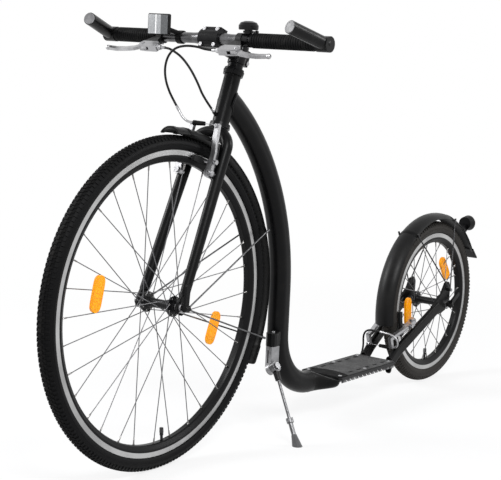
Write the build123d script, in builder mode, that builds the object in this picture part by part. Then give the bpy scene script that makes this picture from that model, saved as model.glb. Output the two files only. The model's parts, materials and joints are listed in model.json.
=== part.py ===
"""Kick scooter with a large front wheel, a small rear wheel, two V-brakes, mudguards and a side stand.

The scooter is modelled upright: X forward, Y to the rider's left, Z up, with X = 0 under the front axle and
the ground at Z = 0. Each finished piece is then leaned onto the side stand and moved to the row's origin.
"""

import os
from math import atan2, cos, degrees, radians, sin, sqrt, tan

from build123d import *

os.makedirs("parts", exist_ok=True)

# ---- Driving dimensions, mm and degrees ----
wheelbase = 1120
front_wheel_radius = 347
rear_wheel_radius = 215
front_tyre_height = 36
rear_tyre_height = 37.5
tyre_section_radius = 19
head_angle = 70
fork_offset = 40
fork_span = 100
rear_span = 100
deck_length = 256
deck_width = 116
deck_height = 99
handlebar_half_width = 292
bar_radius = 11.1
bar_swell = 1.6
steerer_radius = 14.3
steerer_wall = 2.3
head_tube_length = 107
head_tube_radius = 18
stem_length = 96
main_tube_width = 44
main_tube_depth = 52
main_tube_wall = 1.8
lean = 3.2

# ---- Fits ----
running_gap = 0.05
touch_gap = 0.3
axle_radius = 4.5
skewer_radius = 2.5

# ---- Places worked out from them ----
front_bead_radius = front_wheel_radius - front_tyre_height
rear_bead_radius = rear_wheel_radius - rear_tyre_height
bar_clamp_radius = bar_radius + bar_swell
front_axle = Vector(0, 0, front_wheel_radius)
rear_axle = Vector(-wheelbase, 0, rear_wheel_radius)
up_steerer = Vector(-cos(radians(head_angle)), 0, sin(radians(head_angle)))
ahead = Vector(up_steerer.Z, 0, -up_steerer.X)
steering = Plane(origin=front_axle - ahead * fork_offset, x_dir=ahead, z_dir=up_steerer)

tail_reach = wheelbase + rear_wheel_radius + 8
middle_x = (front_wheel_radius - tail_reach) / 2
fender_gap = 15
crown_height = front_wheel_radius + fender_gap + 4
crown_top = crown_height + 26
head_tube_base = crown_top + 11
head_tube_top = head_tube_base + head_tube_length
stem_base = head_tube_top + 25.5
stem_height = 40
bar_height = stem_base + stem_height / 2
bar_place = steering.from_local_coords(Vector(stem_length, 0, bar_height))
side_shift = bar_place.Z * sin(radians(lean))
stance = Location((-middle_x, -side_shift, 0)) * Location((0, 0, 0), (-lean, 0, 0))


def on_fork(forward, left, up):
    """Point given ahead of the steerer's foot, to the left, and up along the steerer."""
    return steering.from_local_coords(Vector(forward, left, up))


def rod(start, end, radius, end_radius=None):
    """Round rod from one point to another, tapering where a second radius is given."""
    start, end = Vector(start), Vector(end)
    foot = Plane(origin=start, z_dir=end - start)
    with BuildSketch(foot) as section:
        Circle(radius)
    if end_radius is None:
        extrude(section.sketch, amount=(end - start).length)
        return
    with BuildSketch(foot.offset((end - start).length)) as tip:
        Circle(end_radius)
    loft([section.sketch, tip.sketch])


def drill(start, end, radius):
    """Round hole from one point to another."""
    start, end = Vector(start), Vector(end)
    with BuildSketch(Plane(origin=start, z_dir=end - start)) as section:
        Circle(radius)
    extrude(section.sketch, amount=(end - start).length, mode=Mode.SUBTRACT)


def ring(start, end, outer, inner):
    """Round collar from one point to another."""
    start, end = Vector(start), Vector(end)
    with BuildSketch(Plane(origin=start, z_dir=end - start)) as section:
        Circle(outer)
        Circle(inner, mode=Mode.SUBTRACT)
    extrude(section.sketch, amount=(end - start).length)


def slab(plane, outline, low, high, mode=Mode.ADD):
    """Flat piece with a polygon outline on a plane, between two heights over that plane."""
    with BuildSketch(plane.offset(low)) as section:
        Polygon(*outline, align=None)
    extrude(section.sketch, amount=high - low, mode=mode)


def turned(plane, outline, axis, arc=360, mode=Mode.ADD):
    """Piece turned about an axis from a polygon outline."""
    with BuildSketch(plane) as section:
        Polygon(*outline, align=None)
    revolve(section.sketch, axis=axis, revolution_arc=arc, mode=mode)


def smooth_path(points):
    """Straight runs joined by tangent arcs, each arc as large as its two runs allow."""
    route = [Vector(point) for point in points]
    runs = [after - before for before, after in zip(route, route[1:])]
    bends = []
    for before, after in zip(runs, runs[1:]):
        half_turn = radians(before.get_angle(after)) / 2
        bends.append(0.45 * min(before.length, after.length) / tan(half_turn))
    print("bend radii", [round(bend) for bend in bends])
    with BuildLine() as path:
        FilletPolyline(*route, radius=bends)
    return path.line


def hose(points, radius, bore=0):
    """Round hose or bent tube along a route."""
    path = smooth_path(points)
    start, onward = Vector(points[0]), Vector(points[1])
    with BuildSketch(Plane(origin=start, z_dir=onward - start)) as section:
        Circle(radius)
        if bore:
            Circle(bore, mode=Mode.SUBTRACT)
    sweep(section.sketch, path=path)


def radial_plane(centre, angle):
    """Plane through a wheel's axle, with X out along the spoke at that angle and Y across the wheel."""
    outward = Vector(cos(radians(angle)), 0, sin(radians(angle)))
    return Plane(origin=centre, x_dir=outward, z_dir=Vector(-outward.Z, 0, outward.X))


def round_wheel(centre, angle, reach, side=0):
    """Point at an angle and a radius from a wheel's axle."""
    return centre + Vector(reach * cos(radians(angle)), side, reach * sin(radians(angle)))


# ==== Wheels ====

track_depth = 9
rim_half_width = 12
rim_wall = 1.8
rim_depth = 19
spoke_radius = 1.0
flange_place = 35
flange_radius = 21.5
spoke_circle = 17.5
hub_barrel_radius = 9.5
valve_radius = 3
valve_reach = 46
front_valve_angle = -93.9
rear_valve_angle = -90
air_radius = tyre_section_radius - 5.5
tyre_shoulder_rise = 4.7


def make_rim(name, centre, bead_radius, valve_angle):
    """Double-walled rim with flat brake tracks, a tyre well and a black inner wall, drilled for the valve."""
    inner_edge = bead_radius - rim_depth
    half = rim_half_width
    with BuildPart() as rim:
        turned(
            Plane(origin=centre),
            [
                (bead_radius + 6, half),
                (bead_radius - track_depth, half),
                (inner_edge + 2, half - 4),
                (inner_edge, half - 7),
                (inner_edge, 7 - half),
                (inner_edge + 2, 4 - half),
                (bead_radius - track_depth, -half),
                (bead_radius + 6, -half),
                (bead_radius + 6, rim_wall - half),
                (bead_radius, rim_wall - half),
                (bead_radius - 4, 5 - half),
                (bead_radius - 4, half - 5),
                (bead_radius, half - rim_wall),
                (bead_radius + 6, half - rim_wall),
            ],
            Axis(centre, (0, 1, 0)),
        )
        turned(
            Plane(origin=centre),
            [
                (bead_radius - 6, half - 5),
                (inner_edge + 4, half - 6),
                (inner_edge + 2, 6 - half),
                (inner_edge + 4, 6 - half),
                (bead_radius - 6, 5 - half),
            ],
            Axis(centre, (0, 1, 0)),
            mode=Mode.SUBTRACT,
        )
        drill(
            round_wheel(centre, valve_angle, inner_edge - 5),
            round_wheel(centre, valve_angle, bead_radius + 5),
            valve_radius + running_gap,
        )
    rim.part.label = name
    export_step(rim.part.moved(stance), f"parts/{name}.step")


def make_tyre(name, centre, outer_radius, bead_radius):
    """Tyre with a round tread, walls that narrow to two bead legs, and a hollow for the inner tube."""
    middle = outer_radius - tyre_section_radius
    leg = rim_half_width - rim_wall - touch_gap / 2
    rim_top = bead_radius + 6 + touch_gap
    shoulder = rim_top + tyre_shoulder_rise
    shoulder_half = sqrt(tyre_section_radius**2 - (middle - shoulder) ** 2)
    with BuildPart() as tyre:
        with BuildSketch(Plane(origin=centre)) as section:
            with Locations((middle, 0)):
                Circle(tyre_section_radius)
            with Locations((shoulder - 50, 0)):
                Rectangle(100, 100, mode=Mode.SUBTRACT)
            Polygon(
                (rim_top, -leg), (shoulder, -shoulder_half), (shoulder, shoulder_half), (rim_top, leg),
                align=None,
            )
            with Locations(((bead_radius + middle) / 2, 0)):
                Rectangle(middle - bead_radius, 2 * leg)
            with Locations((middle + 1, 0)):
                Circle(air_radius, mode=Mode.SUBTRACT)
            with Locations(((bead_radius + middle) / 2, 0)):
                Rectangle(middle - bead_radius + 10, 2 * leg - 6, mode=Mode.SUBTRACT)
        revolve(section.sketch, axis=Axis(centre, (0, 1, 0)))
    tyre.part.label = name
    export_step(tyre.part.moved(stance), f"parts/{name}.step")


def make_inner_tube(name, centre, outer_radius, bead_radius, valve_angle):
    """Rubber tube inside the tyre, with its valve standing through the rim towards the hub."""
    middle = outer_radius - tyre_section_radius + 1
    section_radius = air_radius - touch_gap
    valve_tip = round_wheel(centre, valve_angle, bead_radius - valve_reach)
    with BuildPart() as inner_tube:
        with BuildSketch(Plane(origin=centre)) as section:
            with Locations((middle, 0)):
                Circle(section_radius)
        revolve(section.sketch, axis=Axis(centre, (0, 1, 0)))
        rod(valve_tip, round_wheel(centre, valve_angle, middle), valve_radius)
        rod(valve_tip, round_wheel(centre, valve_angle, bead_radius - valve_reach + 16), valve_radius + 1)
        with BuildSketch(Plane(origin=centre)) as hollow:
            with Locations((middle, 0)):
                Circle(section_radius - 1)
        revolve(hollow.sketch, axis=Axis(centre, (0, 1, 0)), mode=Mode.SUBTRACT)
        drill(valve_tip, round_wheel(centre, valve_angle, middle), 1)
    inner_tube.part.label = name
    export_step(inner_tube.part.moved(stance), f"parts/{name}.step")


def make_hub(name, centre, span):
    """Hub shell: barrel, two drilled flanges and end caps, bored for the axle."""
    end = span / 2 - 7.5
    with BuildPart() as hub:
        turned(
            Plane(origin=centre),
            [
                (axle_radius + running_gap, end),
                (11, end),
                (12, flange_place + 2.5),
                (flange_radius, flange_place + 1.5),
                (flange_radius, flange_place - 1.5),
                (12, flange_place - 4),
                (hub_barrel_radius, flange_place - 10),
                (hub_barrel_radius, 10 - flange_place),
                (12, 4 - flange_place),
                (flange_radius, 1.5 - flange_place),
                (flange_radius, -flange_place - 1.5),
                (12, -flange_place - 2.5),
                (11, -end),
                (axle_radius + running_gap, -end),
            ],
            Axis(centre, (0, 1, 0)),
        )
    hub.part.label = name
    export_step(hub.part.moved(stance), f"parts/{name}.step")


def make_spokes(name, centre, bead_radius, count, cross_angle, valve_angle):
    """Crossed wire spokes: even ones to the left flange, odd ones to the right, turned both ways in pairs."""
    with BuildPart() as spokes:
        for number in range(count):
            side = 1 if number % 2 == 0 else -1
            turn = 1 if (number // 2) % 2 == 0 else -1
            rim_angle = valve_angle + (number + 0.5) * 360 / count
            hub_angle = rim_angle + turn * cross_angle
            hub_end = round_wheel(centre, hub_angle, spoke_circle, side * (flange_place + 2.4 * turn))
            rim_end = round_wheel(centre, rim_angle, bead_radius - rim_depth + 1.5, side * 2.5)
            rod(hub_end, rim_end, spoke_radius)
    spokes.part.label = name
    export_step(spokes.part.moved(stance), f"parts/{name}.step")


def make_wheel_reflectors(name, centre, reach, angles):
    """Two oblong reflectors clipped across the spokes, one towards each side."""
    with BuildPart() as reflectors:
        for angle, side in zip(angles, (1, -1)):
            middle = round_wheel(centre, angle, reach, side * 13)
            flat = Plane(origin=middle, x_dir=radial_plane(centre, angle).z_dir, z_dir=(0, -1, 0))
            with BuildSketch(flat.offset(-3.5)) as outline:
                SlotOverall(74, 28)
            extrude(outline.sketch, amount=7)
    reflectors.part.label = name
    export_step(reflectors.part.moved(stance), f"parts/{name}.step")


make_rim("front_rim", front_axle, front_bead_radius, front_valve_angle)
make_tyre("front_tyre", front_axle, front_wheel_radius, front_bead_radius)
make_inner_tube("front_inner_tube", front_axle, front_wheel_radius, front_bead_radius, front_valve_angle)
make_hub("front_hub", front_axle, fork_span)
make_spokes("front_spokes", front_axle, front_bead_radius, 32, 64, front_valve_angle)
make_wheel_reflectors("front_wheel_reflectors", front_axle, 211, (13, 202))
make_rim("rear_rim", rear_axle, rear_bead_radius, rear_valve_angle)
make_tyre("rear_tyre", rear_axle, rear_wheel_radius, rear_bead_radius)
make_inner_tube("rear_inner_tube", rear_axle, rear_wheel_radius, rear_bead_radius, rear_valve_angle)
make_hub("rear_hub", rear_axle, rear_span)
make_spokes("rear_spokes", rear_axle, rear_bead_radius, 28, 50, rear_valve_angle)
make_wheel_reflectors("rear_wheel_reflectors", rear_axle, 128, (-5, 144))

# ==== Axles with their quick releases ====

dropout_thickness = 6
cone_length = 7
nut_radius = 11
nut_height = 5
cam_radius = 7
cam_length = 14
lever_reach = 44


def make_axle(name, centre, span):
    """Hollow axle with two cone nuts, and the skewer through it with its far-side nut."""
    half = span / 2
    outside = half + dropout_thickness
    with BuildPart() as axle:
        ring(centre - Vector(0, outside - 1, 0), centre + Vector(0, outside - 1, 0), axle_radius, skewer_radius)
        for side in (1, -1):
            inner = centre + Vector(0, side * (half - cone_length), 0)
            ring(inner, centre + Vector(0, side * half, 0), 8.5, axle_radius)
        rod(centre - Vector(0, outside + 8, 0), centre + Vector(0, outside + nut_height, 0), skewer_radius)
        ring(centre - Vector(0, outside + 7, 0), centre - Vector(0, outside, 0), nut_radius - 2, skewer_radius)
        ring(centre + Vector(0, outside, 0), centre + Vector(0, outside + nut_height, 0), nut_radius, skewer_radius)
    axle.part.label = name
    export_step(axle.part.moved(stance), f"parts/{name}.step")


def make_quick_release(name, centre, span, angle):
    """Cam lever outside the left dropout: a barrel across the lever and a flat blade along it."""
    turn = centre + Vector(0, span / 2 + dropout_thickness + nut_height + touch_gap + cam_radius, 0)
    along = radial_plane(centre, angle)
    with BuildPart() as release:
        rod(turn - along.z_dir * cam_length / 2, turn + along.z_dir * cam_length / 2, cam_radius)
        with BuildSketch(Plane(origin=turn - Vector(0, 4, 0), x_dir=along.x_dir, z_dir=(0, 1, 0))) as blade:
            with Locations((lever_reach / 2, 0)):
                SlotOverall(lever_reach + 12, 12)
        extrude(blade.sketch, amount=6)
    release.part.label = name
    export_step(release.part.moved(stance), f"parts/{name}.step")


make_axle("front_axle", front_axle, fork_span)
make_axle("rear_axle", rear_axle, rear_span)
make_quick_release("front_quick_release", front_axle, fork_span, 95)
make_quick_release("rear_quick_release", rear_axle, rear_span, 150)

# ==== Fork ====

blade_place = 53
blade_top_place = 44.6
blade_top_radius = 13
blade_foot_radius = 10.5
fork_wall = 2.5
blade_foot = 24
blade_lean_top = 16
blade_lean_foot = fork_offset - 2
shoulder = crown_height + 13

blade_top = shoulder - 40
blade_slope = (blade_lean_top - blade_lean_foot) / (blade_top - blade_foot)
shoulder_lean = blade_lean_top + 40 * blade_slope
blade_narrowing = (blade_place - blade_top_place) / (blade_top - blade_foot)
shoulder_place = blade_top_place - 40 * blade_narrowing

with BuildPart() as fork_crown:
    with BuildLine() as arch:
        FilletPolyline(
            on_fork(blade_lean_top, blade_top_place, blade_top),
            on_fork(shoulder_lean, shoulder_place, shoulder),
            on_fork(shoulder_lean, -shoulder_place, shoulder),
            on_fork(blade_lean_top, -blade_top_place, blade_top),
            radius=36,
        )
    for radius, mode in ((blade_top_radius, Mode.ADD), (blade_top_radius - fork_wall, Mode.SUBTRACT)):
        with BuildSketch(Plane(origin=arch.line @ 0, z_dir=arch.line % 0)) as section:
            Circle(radius)
        sweep(section.sketch, path=arch.line, mode=mode)
    rod(on_fork(0, 0, crown_height), on_fork(0, 0, crown_top), 19)
    drill(on_fork(0, 0, crown_height - 5), on_fork(0, 0, crown_top + 5), steerer_radius)
fork_crown.part.label = "fork_crown"
export_step(fork_crown.part.moved(stance), "parts/fork_crown.step")

with BuildPart() as fork_blades:
    for side in (1, -1):
        rod(
            on_fork(blade_lean_top, side * blade_top_place, blade_top),
            on_fork(blade_lean_foot, side * blade_place, blade_foot),
            blade_top_radius,
            blade_foot_radius,
        )
        drill(
            on_fork(blade_lean_top - blade_slope, side * (blade_top_place - blade_narrowing), blade_top + 1),
            on_fork(blade_lean_foot, side * blade_place, blade_foot + 8),
            blade_foot_radius - 2,
        )
fork_blades.part.label = "fork_blades"
export_step(fork_blades.part.moved(stance), "parts/fork_blades.step")


eyelet_back = 15.5
dropout_outline = [
    (blade_lean_foot - 10, blade_foot + 4),
    (blade_lean_foot + 10, blade_foot + 4),
    (fork_offset + 13, 8),
    (fork_offset + 14, -6),
    (fork_offset + 8, -15),
    (fork_offset - 8, -15),
    (fork_offset - eyelet_back, -6),
    (fork_offset - eyelet_back - 5, -1),
    (fork_offset - eyelet_back - 4, 7),
    (fork_offset - 12, 13),
]
fork_side = Plane(origin=steering.origin, x_dir=ahead, z_dir=(0, -1, 0))
with BuildPart() as fork_dropouts:
    for side in (1, -1):
        inner = fork_span / 2
        low = -inner - dropout_thickness if side > 0 else inner
        slab(fork_side, dropout_outline, low, low + dropout_thickness)
    drill(front_axle - Vector(0, 80, 0), front_axle + Vector(0, 80, 0), axle_radius + running_gap)
    slot_half = axle_radius + running_gap
    slab(
        fork_side,
        [
            (fork_offset - slot_half, 0),
            (fork_offset + slot_half, 0),
            (fork_offset + slot_half, -20),
            (fork_offset - slot_half, -20),
        ],
        -80,
        80,
        mode=Mode.SUBTRACT,
    )
    add(fork_blades.part, mode=Mode.SUBTRACT)
fork_dropouts.part.label = "fork_dropouts"
export_step(fork_dropouts.part.moved(stance), "parts/fork_dropouts.step")

with BuildPart() as fork_steerer:
    steerer_bore = steerer_radius - steerer_wall
    ring(on_fork(0, 0, crown_height + 1), on_fork(0, 0, stem_base + stem_height), steerer_radius, steerer_bore)
fork_steerer.part.label = "fork_steerer"
export_step(fork_steerer.part.moved(stance), "parts/fork_steerer.step")

# ==== Headset and head tube ====

cup_height = 10
bearing_radius = 19
head_tube_wall = 2.2

stop_mouth = on_fork(25, -5, head_tube_base + 17)
stop_approach = Vector(-127, -10, 767)
stop_direction = (stop_mouth - stop_approach).normalized()

with BuildPart() as head_tube:
    head_tube_bore = head_tube_radius - head_tube_wall
    ring(on_fork(0, 0, head_tube_base), on_fork(0, 0, head_tube_top), head_tube_radius, head_tube_bore)
    rod(stop_mouth, stop_mouth + stop_direction * 14, 4)
    drill(on_fork(0, 0, head_tube_base - 5), on_fork(0, 0, head_tube_top + 5), head_tube_bore)
head_tube.part.label = "head_tube"
export_step(head_tube.part.moved(stance), "parts/head_tube.step")

with BuildPart() as headset_cups:
    for base, away in ((head_tube_base, -1), (head_tube_top, 1)):
        turned(
            Plane(origin=on_fork(0, 0, base), x_dir=ahead, z_dir=(0, -1, 0)),
            [
                (steerer_radius + 0.7, -away * 10),
                (head_tube_radius - head_tube_wall, -away * 10),
                (head_tube_radius - head_tube_wall, 0),
                (head_tube_radius + 3.5, 0),
                (head_tube_radius + 4.5, away * (cup_height - 1)),
                (head_tube_radius + 4.5, away * cup_height),
                (bearing_radius, away * cup_height),
                (bearing_radius, away * 2),
                (steerer_radius + 0.7, away * 2),
            ],
            Axis(steering.origin, up_steerer),
        )
headset_cups.part.label = "headset_cups"
export_step(headset_cups.part.moved(stance), "parts/headset_cups.step")

with BuildPart() as headset_bearings:
    for base, away in ((head_tube_base, -1), (head_tube_top, 1)):
        seat = on_fork(0, 0, base + away * 2)
        ring(seat, on_fork(0, 0, base + away * 9.5), bearing_radius, steerer_radius + running_gap)
headset_bearings.part.label = "headset_bearings"
export_step(headset_bearings.part.moved(stance), "parts/headset_bearings.step")

with BuildPart() as headset_spacers:
    cover = head_tube_top + cup_height + touch_gap
    ring(on_fork(0, 0, cover), on_fork(0, 0, cover + 4), head_tube_radius + 3, steerer_radius)
    ring(on_fork(0, 0, cover + 4), on_fork(0, 0, cover + 9.6), 16.5, steerer_radius)
    ring(on_fork(0, 0, cover + 9.6), on_fork(0, 0, stem_base), 16.5, steerer_radius)
    cap_base = stem_base + stem_height
    rod(on_fork(0, 0, cap_base), on_fork(0, 0, cap_base + 5), 17, 15)
headset_spacers.part.label = "headset_spacers"
export_step(headset_spacers.part.moved(stance), "parts/headset_spacers.step")

# ==== Stem and handlebar ====

faceplate_gap = 1.5
faceplate_bolts = [(side * 17, bar_height + lift) for side in (1, -1) for lift in (-17, 17)]
pinch_bolts = [stem_base + 10, stem_base + 30]
bolt_radius = 2.5
bolt_head_radius = 4.2

with BuildPart() as stem:
    rod(on_fork(0, 0, stem_base), on_fork(0, 0, stem_base + stem_height), 19)
    rod(on_fork(8, 0, bar_height), on_fork(stem_length - 16, 0, bar_height), 16, 17.5)
    rod(on_fork(stem_length, -25, bar_height), on_fork(stem_length, 25, bar_height), 20)
    slab(
        Plane(origin=steering.origin, x_dir=ahead, z_dir=(0, -1, 0)),
        [
            (stem_length - 12, bar_height - 22),
            (stem_length, bar_height - 22),
            (stem_length, bar_height + 22),
            (stem_length - 12, bar_height + 22),
        ],
        -24,
        24,
    )
    slab(
        Plane(origin=steering.origin, x_dir=ahead, z_dir=(0, -1, 0)),
        [(-28, stem_base + 3), (-12, stem_base + 3), (-12, stem_base + 37), (-28, stem_base + 37)],
        -10,
        10,
    )
    drill(on_fork(0, 0, stem_base - 5), on_fork(0, 0, stem_base + stem_height + 5), steerer_radius)
    drill(on_fork(stem_length, -40, bar_height), on_fork(stem_length, 40, bar_height), bar_clamp_radius)
    slab(
        Plane(origin=steering.origin, x_dir=ahead, z_dir=(0, -1, 0)),
        [
            (stem_length - faceplate_gap / 2, bar_height - 40),
            (stem_length + 60, bar_height - 40),
            (stem_length + 60, bar_height + 40),
            (stem_length - faceplate_gap / 2, bar_height + 40),
        ],
        -60,
        60,
        mode=Mode.SUBTRACT,
    )
    slab(
        Plane(origin=steering.origin, x_dir=ahead, z_dir=(0, -1, 0)),
        [(-40, stem_base - 5), (-13, stem_base - 5), (-13, stem_base + 45), (-40, stem_base + 45)],
        -1,
        1,
        mode=Mode.SUBTRACT,
    )
    for left, up in faceplate_bolts:
        drill(on_fork(stem_length - 10, left, up), on_fork(stem_length + 10, left, up), bolt_radius)
    for up in pinch_bolts:
        drill(on_fork(-22.5, -30, up), on_fork(-22.5, 30, up), bolt_radius)
stem.part.label = "stem"
export_step(stem.part.moved(stance), "parts/stem.step")

with BuildPart() as stem_faceplate:
    rod(on_fork(stem_length, -25, bar_height), on_fork(stem_length, 25, bar_height), 20)
    slab(
        Plane(origin=steering.origin, x_dir=ahead, z_dir=(0, -1, 0)),
        [
            (stem_length, bar_height - 22),
            (stem_length + 11, bar_height - 22),
            (stem_length + 11, bar_height + 22),
            (stem_length, bar_height + 22),
        ],
        -24,
        24,
    )
    drill(on_fork(stem_length, -40, bar_height), on_fork(stem_length, 40, bar_height), bar_clamp_radius)
    slab(
        Plane(origin=steering.origin, x_dir=ahead, z_dir=(0, -1, 0)),
        [
            (stem_length - 60, bar_height - 40),
            (stem_length + faceplate_gap / 2, bar_height - 40),
            (stem_length + faceplate_gap / 2, bar_height + 40),
            (stem_length - 60, bar_height + 40),
        ],
        -60,
        60,
        mode=Mode.SUBTRACT,
    )
    for left, up in faceplate_bolts:
        drill(on_fork(stem_length - 10, left, up), on_fork(stem_length + 30, left, up), bolt_radius)
        drill(on_fork(stem_length + 11, left, up), on_fork(stem_length + 30, left, up), bolt_head_radius + 0.2)
stem_faceplate.part.label = "stem_faceplate"
export_step(stem_faceplate.part.moved(stance), "parts/stem_faceplate.step")

with BuildPart() as stem_bolts:
    for left, up in faceplate_bolts:
        rod(on_fork(stem_length - 9, left, up), on_fork(stem_length + 11, left, up), bolt_radius)
        rod(on_fork(stem_length + 11, left, up), on_fork(stem_length + 15, left, up), bolt_head_radius)
    for up in pinch_bolts:
        rod(on_fork(-22.5, -10, up), on_fork(-22.5, 10, up), bolt_radius)
        rod(on_fork(-22.5, 10, up), on_fork(-22.5, 14, up), bolt_head_radius)
    rod(on_fork(0, 0, cap_base + 5), on_fork(0, 0, cap_base + 8), bolt_head_radius)
stem_bolts.part.label = "stem_bolts"
export_step(stem_bolts.part.moved(stance), "parts/stem_bolts.step")


def beside_bar(left, forward=0, up=0):
    """Point near the handlebar: to the left, forward and up from its middle."""
    return bar_place + Vector(forward, left, up)


bar_wall = 2
setting_line = 68
with BuildPart() as handlebar:
    tube_half = handlebar_half_width - 2
    rod(beside_bar(-tube_half), beside_bar(tube_half), bar_radius)
    rod(beside_bar(-28), beside_bar(28), bar_clamp_radius)
    for side in (1, -1):
        rod(beside_bar(side * 28), beside_bar(side * 48), bar_clamp_radius, bar_radius)
        line_start = beside_bar(side * (setting_line - 0.2))
        line_end = beside_bar(side * (setting_line + 0.2))
        with BuildSketch(Plane(origin=line_start, z_dir=line_end - line_start)) as groove:
            Circle(bar_radius + 1)
            Circle(bar_radius - 0.15, mode=Mode.SUBTRACT)
        extrude(groove.sketch, amount=0.4, mode=Mode.SUBTRACT)
    drill(beside_bar(-tube_half), beside_bar(tube_half), bar_radius - bar_wall)
handlebar.part.label = "handlebar"
export_step(handlebar.part.moved(stance), "parts/handlebar.step")

grip_radius = bar_radius + 4.4
grip_end = 262
left_grip_start = 104
right_grip_start = 146


def make_grip(name, side, start):
    """Ribbed rubber grip pushed onto the handlebar."""
    with BuildPart() as grip:
        ring(beside_bar(side * start), beside_bar(side * grip_end), grip_radius - 0.8, bar_radius)
        ribs = int((grip_end - start - 4) // 6)
        for rib in range(ribs):
            place = start + 3 + 6 * rib
            ring(beside_bar(side * place), beside_bar(side * (place + 3)), grip_radius, bar_radius)
    grip.part.label = name
    export_step(grip.part.moved(stance), f"parts/{name}.step")


make_grip("left_grip", 1, left_grip_start)
make_grip("right_grip", -1, right_grip_start)

horn_radius = 13.5
horn_place = handlebar_half_width - 12
horn_length = 96
horn_toe = 12.5
horn_rise = 30
with BuildPart() as bar_ends:
    for side in (1, -1):
        middle = beside_bar(side * horn_place)
        rod(beside_bar(side * (grip_end + 1)), beside_bar(side * handlebar_half_width), bar_radius + 4.9)
        inward = -side * horn_length * sin(radians(horn_toe))
        horn_reach = Vector(horn_length * cos(radians(horn_toe)), inward, horn_rise)
        rod(middle, middle + horn_reach, horn_radius)
        drill(beside_bar(side * (grip_end - 5)), beside_bar(side * tube_half), bar_radius)
        drill(middle + horn_reach * 0.2, middle + horn_reach * 0.98, horn_radius - 2)
bar_ends.part.label = "bar_ends"
export_step(bar_ends.part.moved(stance), "parts/bar_ends.step")

# ==== Bell and front reflector ====

bell_place = 91.5
bell_ring_radius = bar_radius + 3.4
dome_radius = 20.5
dome_base = 21
neck_radius = 8.5

with BuildPart() as bell:
    ring(beside_bar(bell_place - 7), beside_bar(bell_place + 7), bell_ring_radius, bar_radius)
    rod(beside_bar(bell_place, 0, 13), beside_bar(bell_place, 0, dome_base), neck_radius)
    turned(
        Plane(origin=beside_bar(bell_place, 0, dome_base), x_dir=(1, 0, 0), z_dir=(0, -1, 0)),
        [
            (0, 0),
            (dome_radius - 1, 0),
            (dome_radius, 3),
            (dome_radius, 9),
            (dome_radius - 4, 15),
            (8, 18),
            (0, 18),
        ],
        Axis(beside_bar(bell_place), (0, 0, 1)),
    )
    turned(
        Plane(origin=beside_bar(bell_place, 0, dome_base), x_dir=(1, 0, 0), z_dir=(0, -1, 0)),
        [(10, -1), (dome_radius - 2.5, -1), (dome_radius - 2.5, 8), (14, 13), (10, 13)],
        Axis(beside_bar(bell_place), (0, 0, 1)),
        mode=Mode.SUBTRACT,
    )
    drill(beside_bar(bell_place - 10), beside_bar(bell_place + 10), bar_radius)
bell.part.label = "bell"
export_step(bell.part.moved(stance), "parts/bell.step")

striker_low = 15
striker_high = 19.5
striker_reach = 27
with BuildPart() as bell_striker:
    collar_top = beside_bar(bell_place, 0, striker_high)
    ring(beside_bar(bell_place, 0, striker_low), collar_top, 11, neck_radius + running_gap)
    rod(beside_bar(bell_place, -striker_reach, 17.2), beside_bar(bell_place, -10, 17.2), 2)
    rod(beside_bar(bell_place, -striker_reach - 4, 17.2), beside_bar(bell_place, -striker_reach + 1, 17.2), 3.6)
bell_striker.part.label = "bell_striker"
export_step(bell_striker.part.moved(stance), "parts/bell_striker.step")

reflector_ring_place = 84
reflector_ahead = 32
reflector_low = 3
reflector_width = 56
reflector_height = 44
reflector_side = -118
with BuildPart() as front_reflector:
    ring(beside_bar(-reflector_ring_place - 6), beside_bar(-reflector_ring_place + 6), bar_radius + 2.9, bar_radius)
    back = reflector_ahead - 4
    rod(beside_bar(-reflector_ring_place, 8, 8), beside_bar(-reflector_ring_place - 12, back, 15), 5)
    drill(beside_bar(-reflector_ring_place - 10), beside_bar(-reflector_ring_place + 10), bar_radius)
    middle = beside_bar(reflector_side, back, reflector_low + reflector_height / 2)
    front = Plane(origin=middle, x_dir=(0, 1, 0), z_dir=(1, 0, 0))
    with BuildSketch(front) as face:
        RectangleRounded(reflector_width, reflector_height, 4)
    extrude(face.sketch, amount=8)
front_reflector.part.label = "front_reflector"
export_step(front_reflector.part.moved(stance), "parts/front_reflector.step")

# ==== Brake levers ====

lever_droop = degrees(atan2(32, 57))
lever_forward = Vector(cos(radians(lever_droop)), 0, -sin(radians(lever_droop)))
lever_axis = Vector(sin(radians(lever_droop)), 0, cos(radians(lever_droop)))
lever_plane = Plane(origin=bar_place, x_dir=(0, 1, 0), z_dir=-lever_axis)
left_lever_offset = 52
right_lever_offset = 112
lever_pin_place = 42
lever_pin_ahead = 44
adjuster_ahead = 47
blade_half_thickness = 3.3


def make_lever_mount(name, side, offset):
    """Lever bracket: clamp ring, forked body with the pivot pin, and the barrel that the cable leaves from."""
    with BuildPart() as mount:
        ring(beside_bar(side * (offset + 16)), beside_bar(side * (offset + 30)), bar_radius + 3.4, bar_radius)
        outline = [(0, 40), (0, 54), (30, 54), (48, 52), (50, 42), (46, 34), (30, 11), (16, 11), (12, 30)]
        slab(lever_plane, [(side * (offset + along), out) for along, out in outline], -7, 7)
        slot = [(22, 34), (22, 80), (80, 80), (80, 18), (44, 18), (36, 28)]
        slab(lever_plane, [(side * (offset + along), out) for along, out in slot], -3.6, 3.6, mode=Mode.SUBTRACT)
        barrel = beside_bar(side * offset) + lever_forward * adjuster_ahead
        rod(barrel, barrel - Vector(0, side * 9, 0), 4.5)
        drill(beside_bar(side * (offset + 10)), beside_bar(side * (offset + 40)), bar_radius)
        pin = beside_bar(side * (offset + lever_pin_place)) + lever_forward * lever_pin_ahead
        rod(pin - lever_axis * 7.5, pin + lever_axis * 7.5, 2.5)
    mount.part.label = name
    export_step(mount.part.moved(stance), f"parts/{name}.step")


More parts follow.
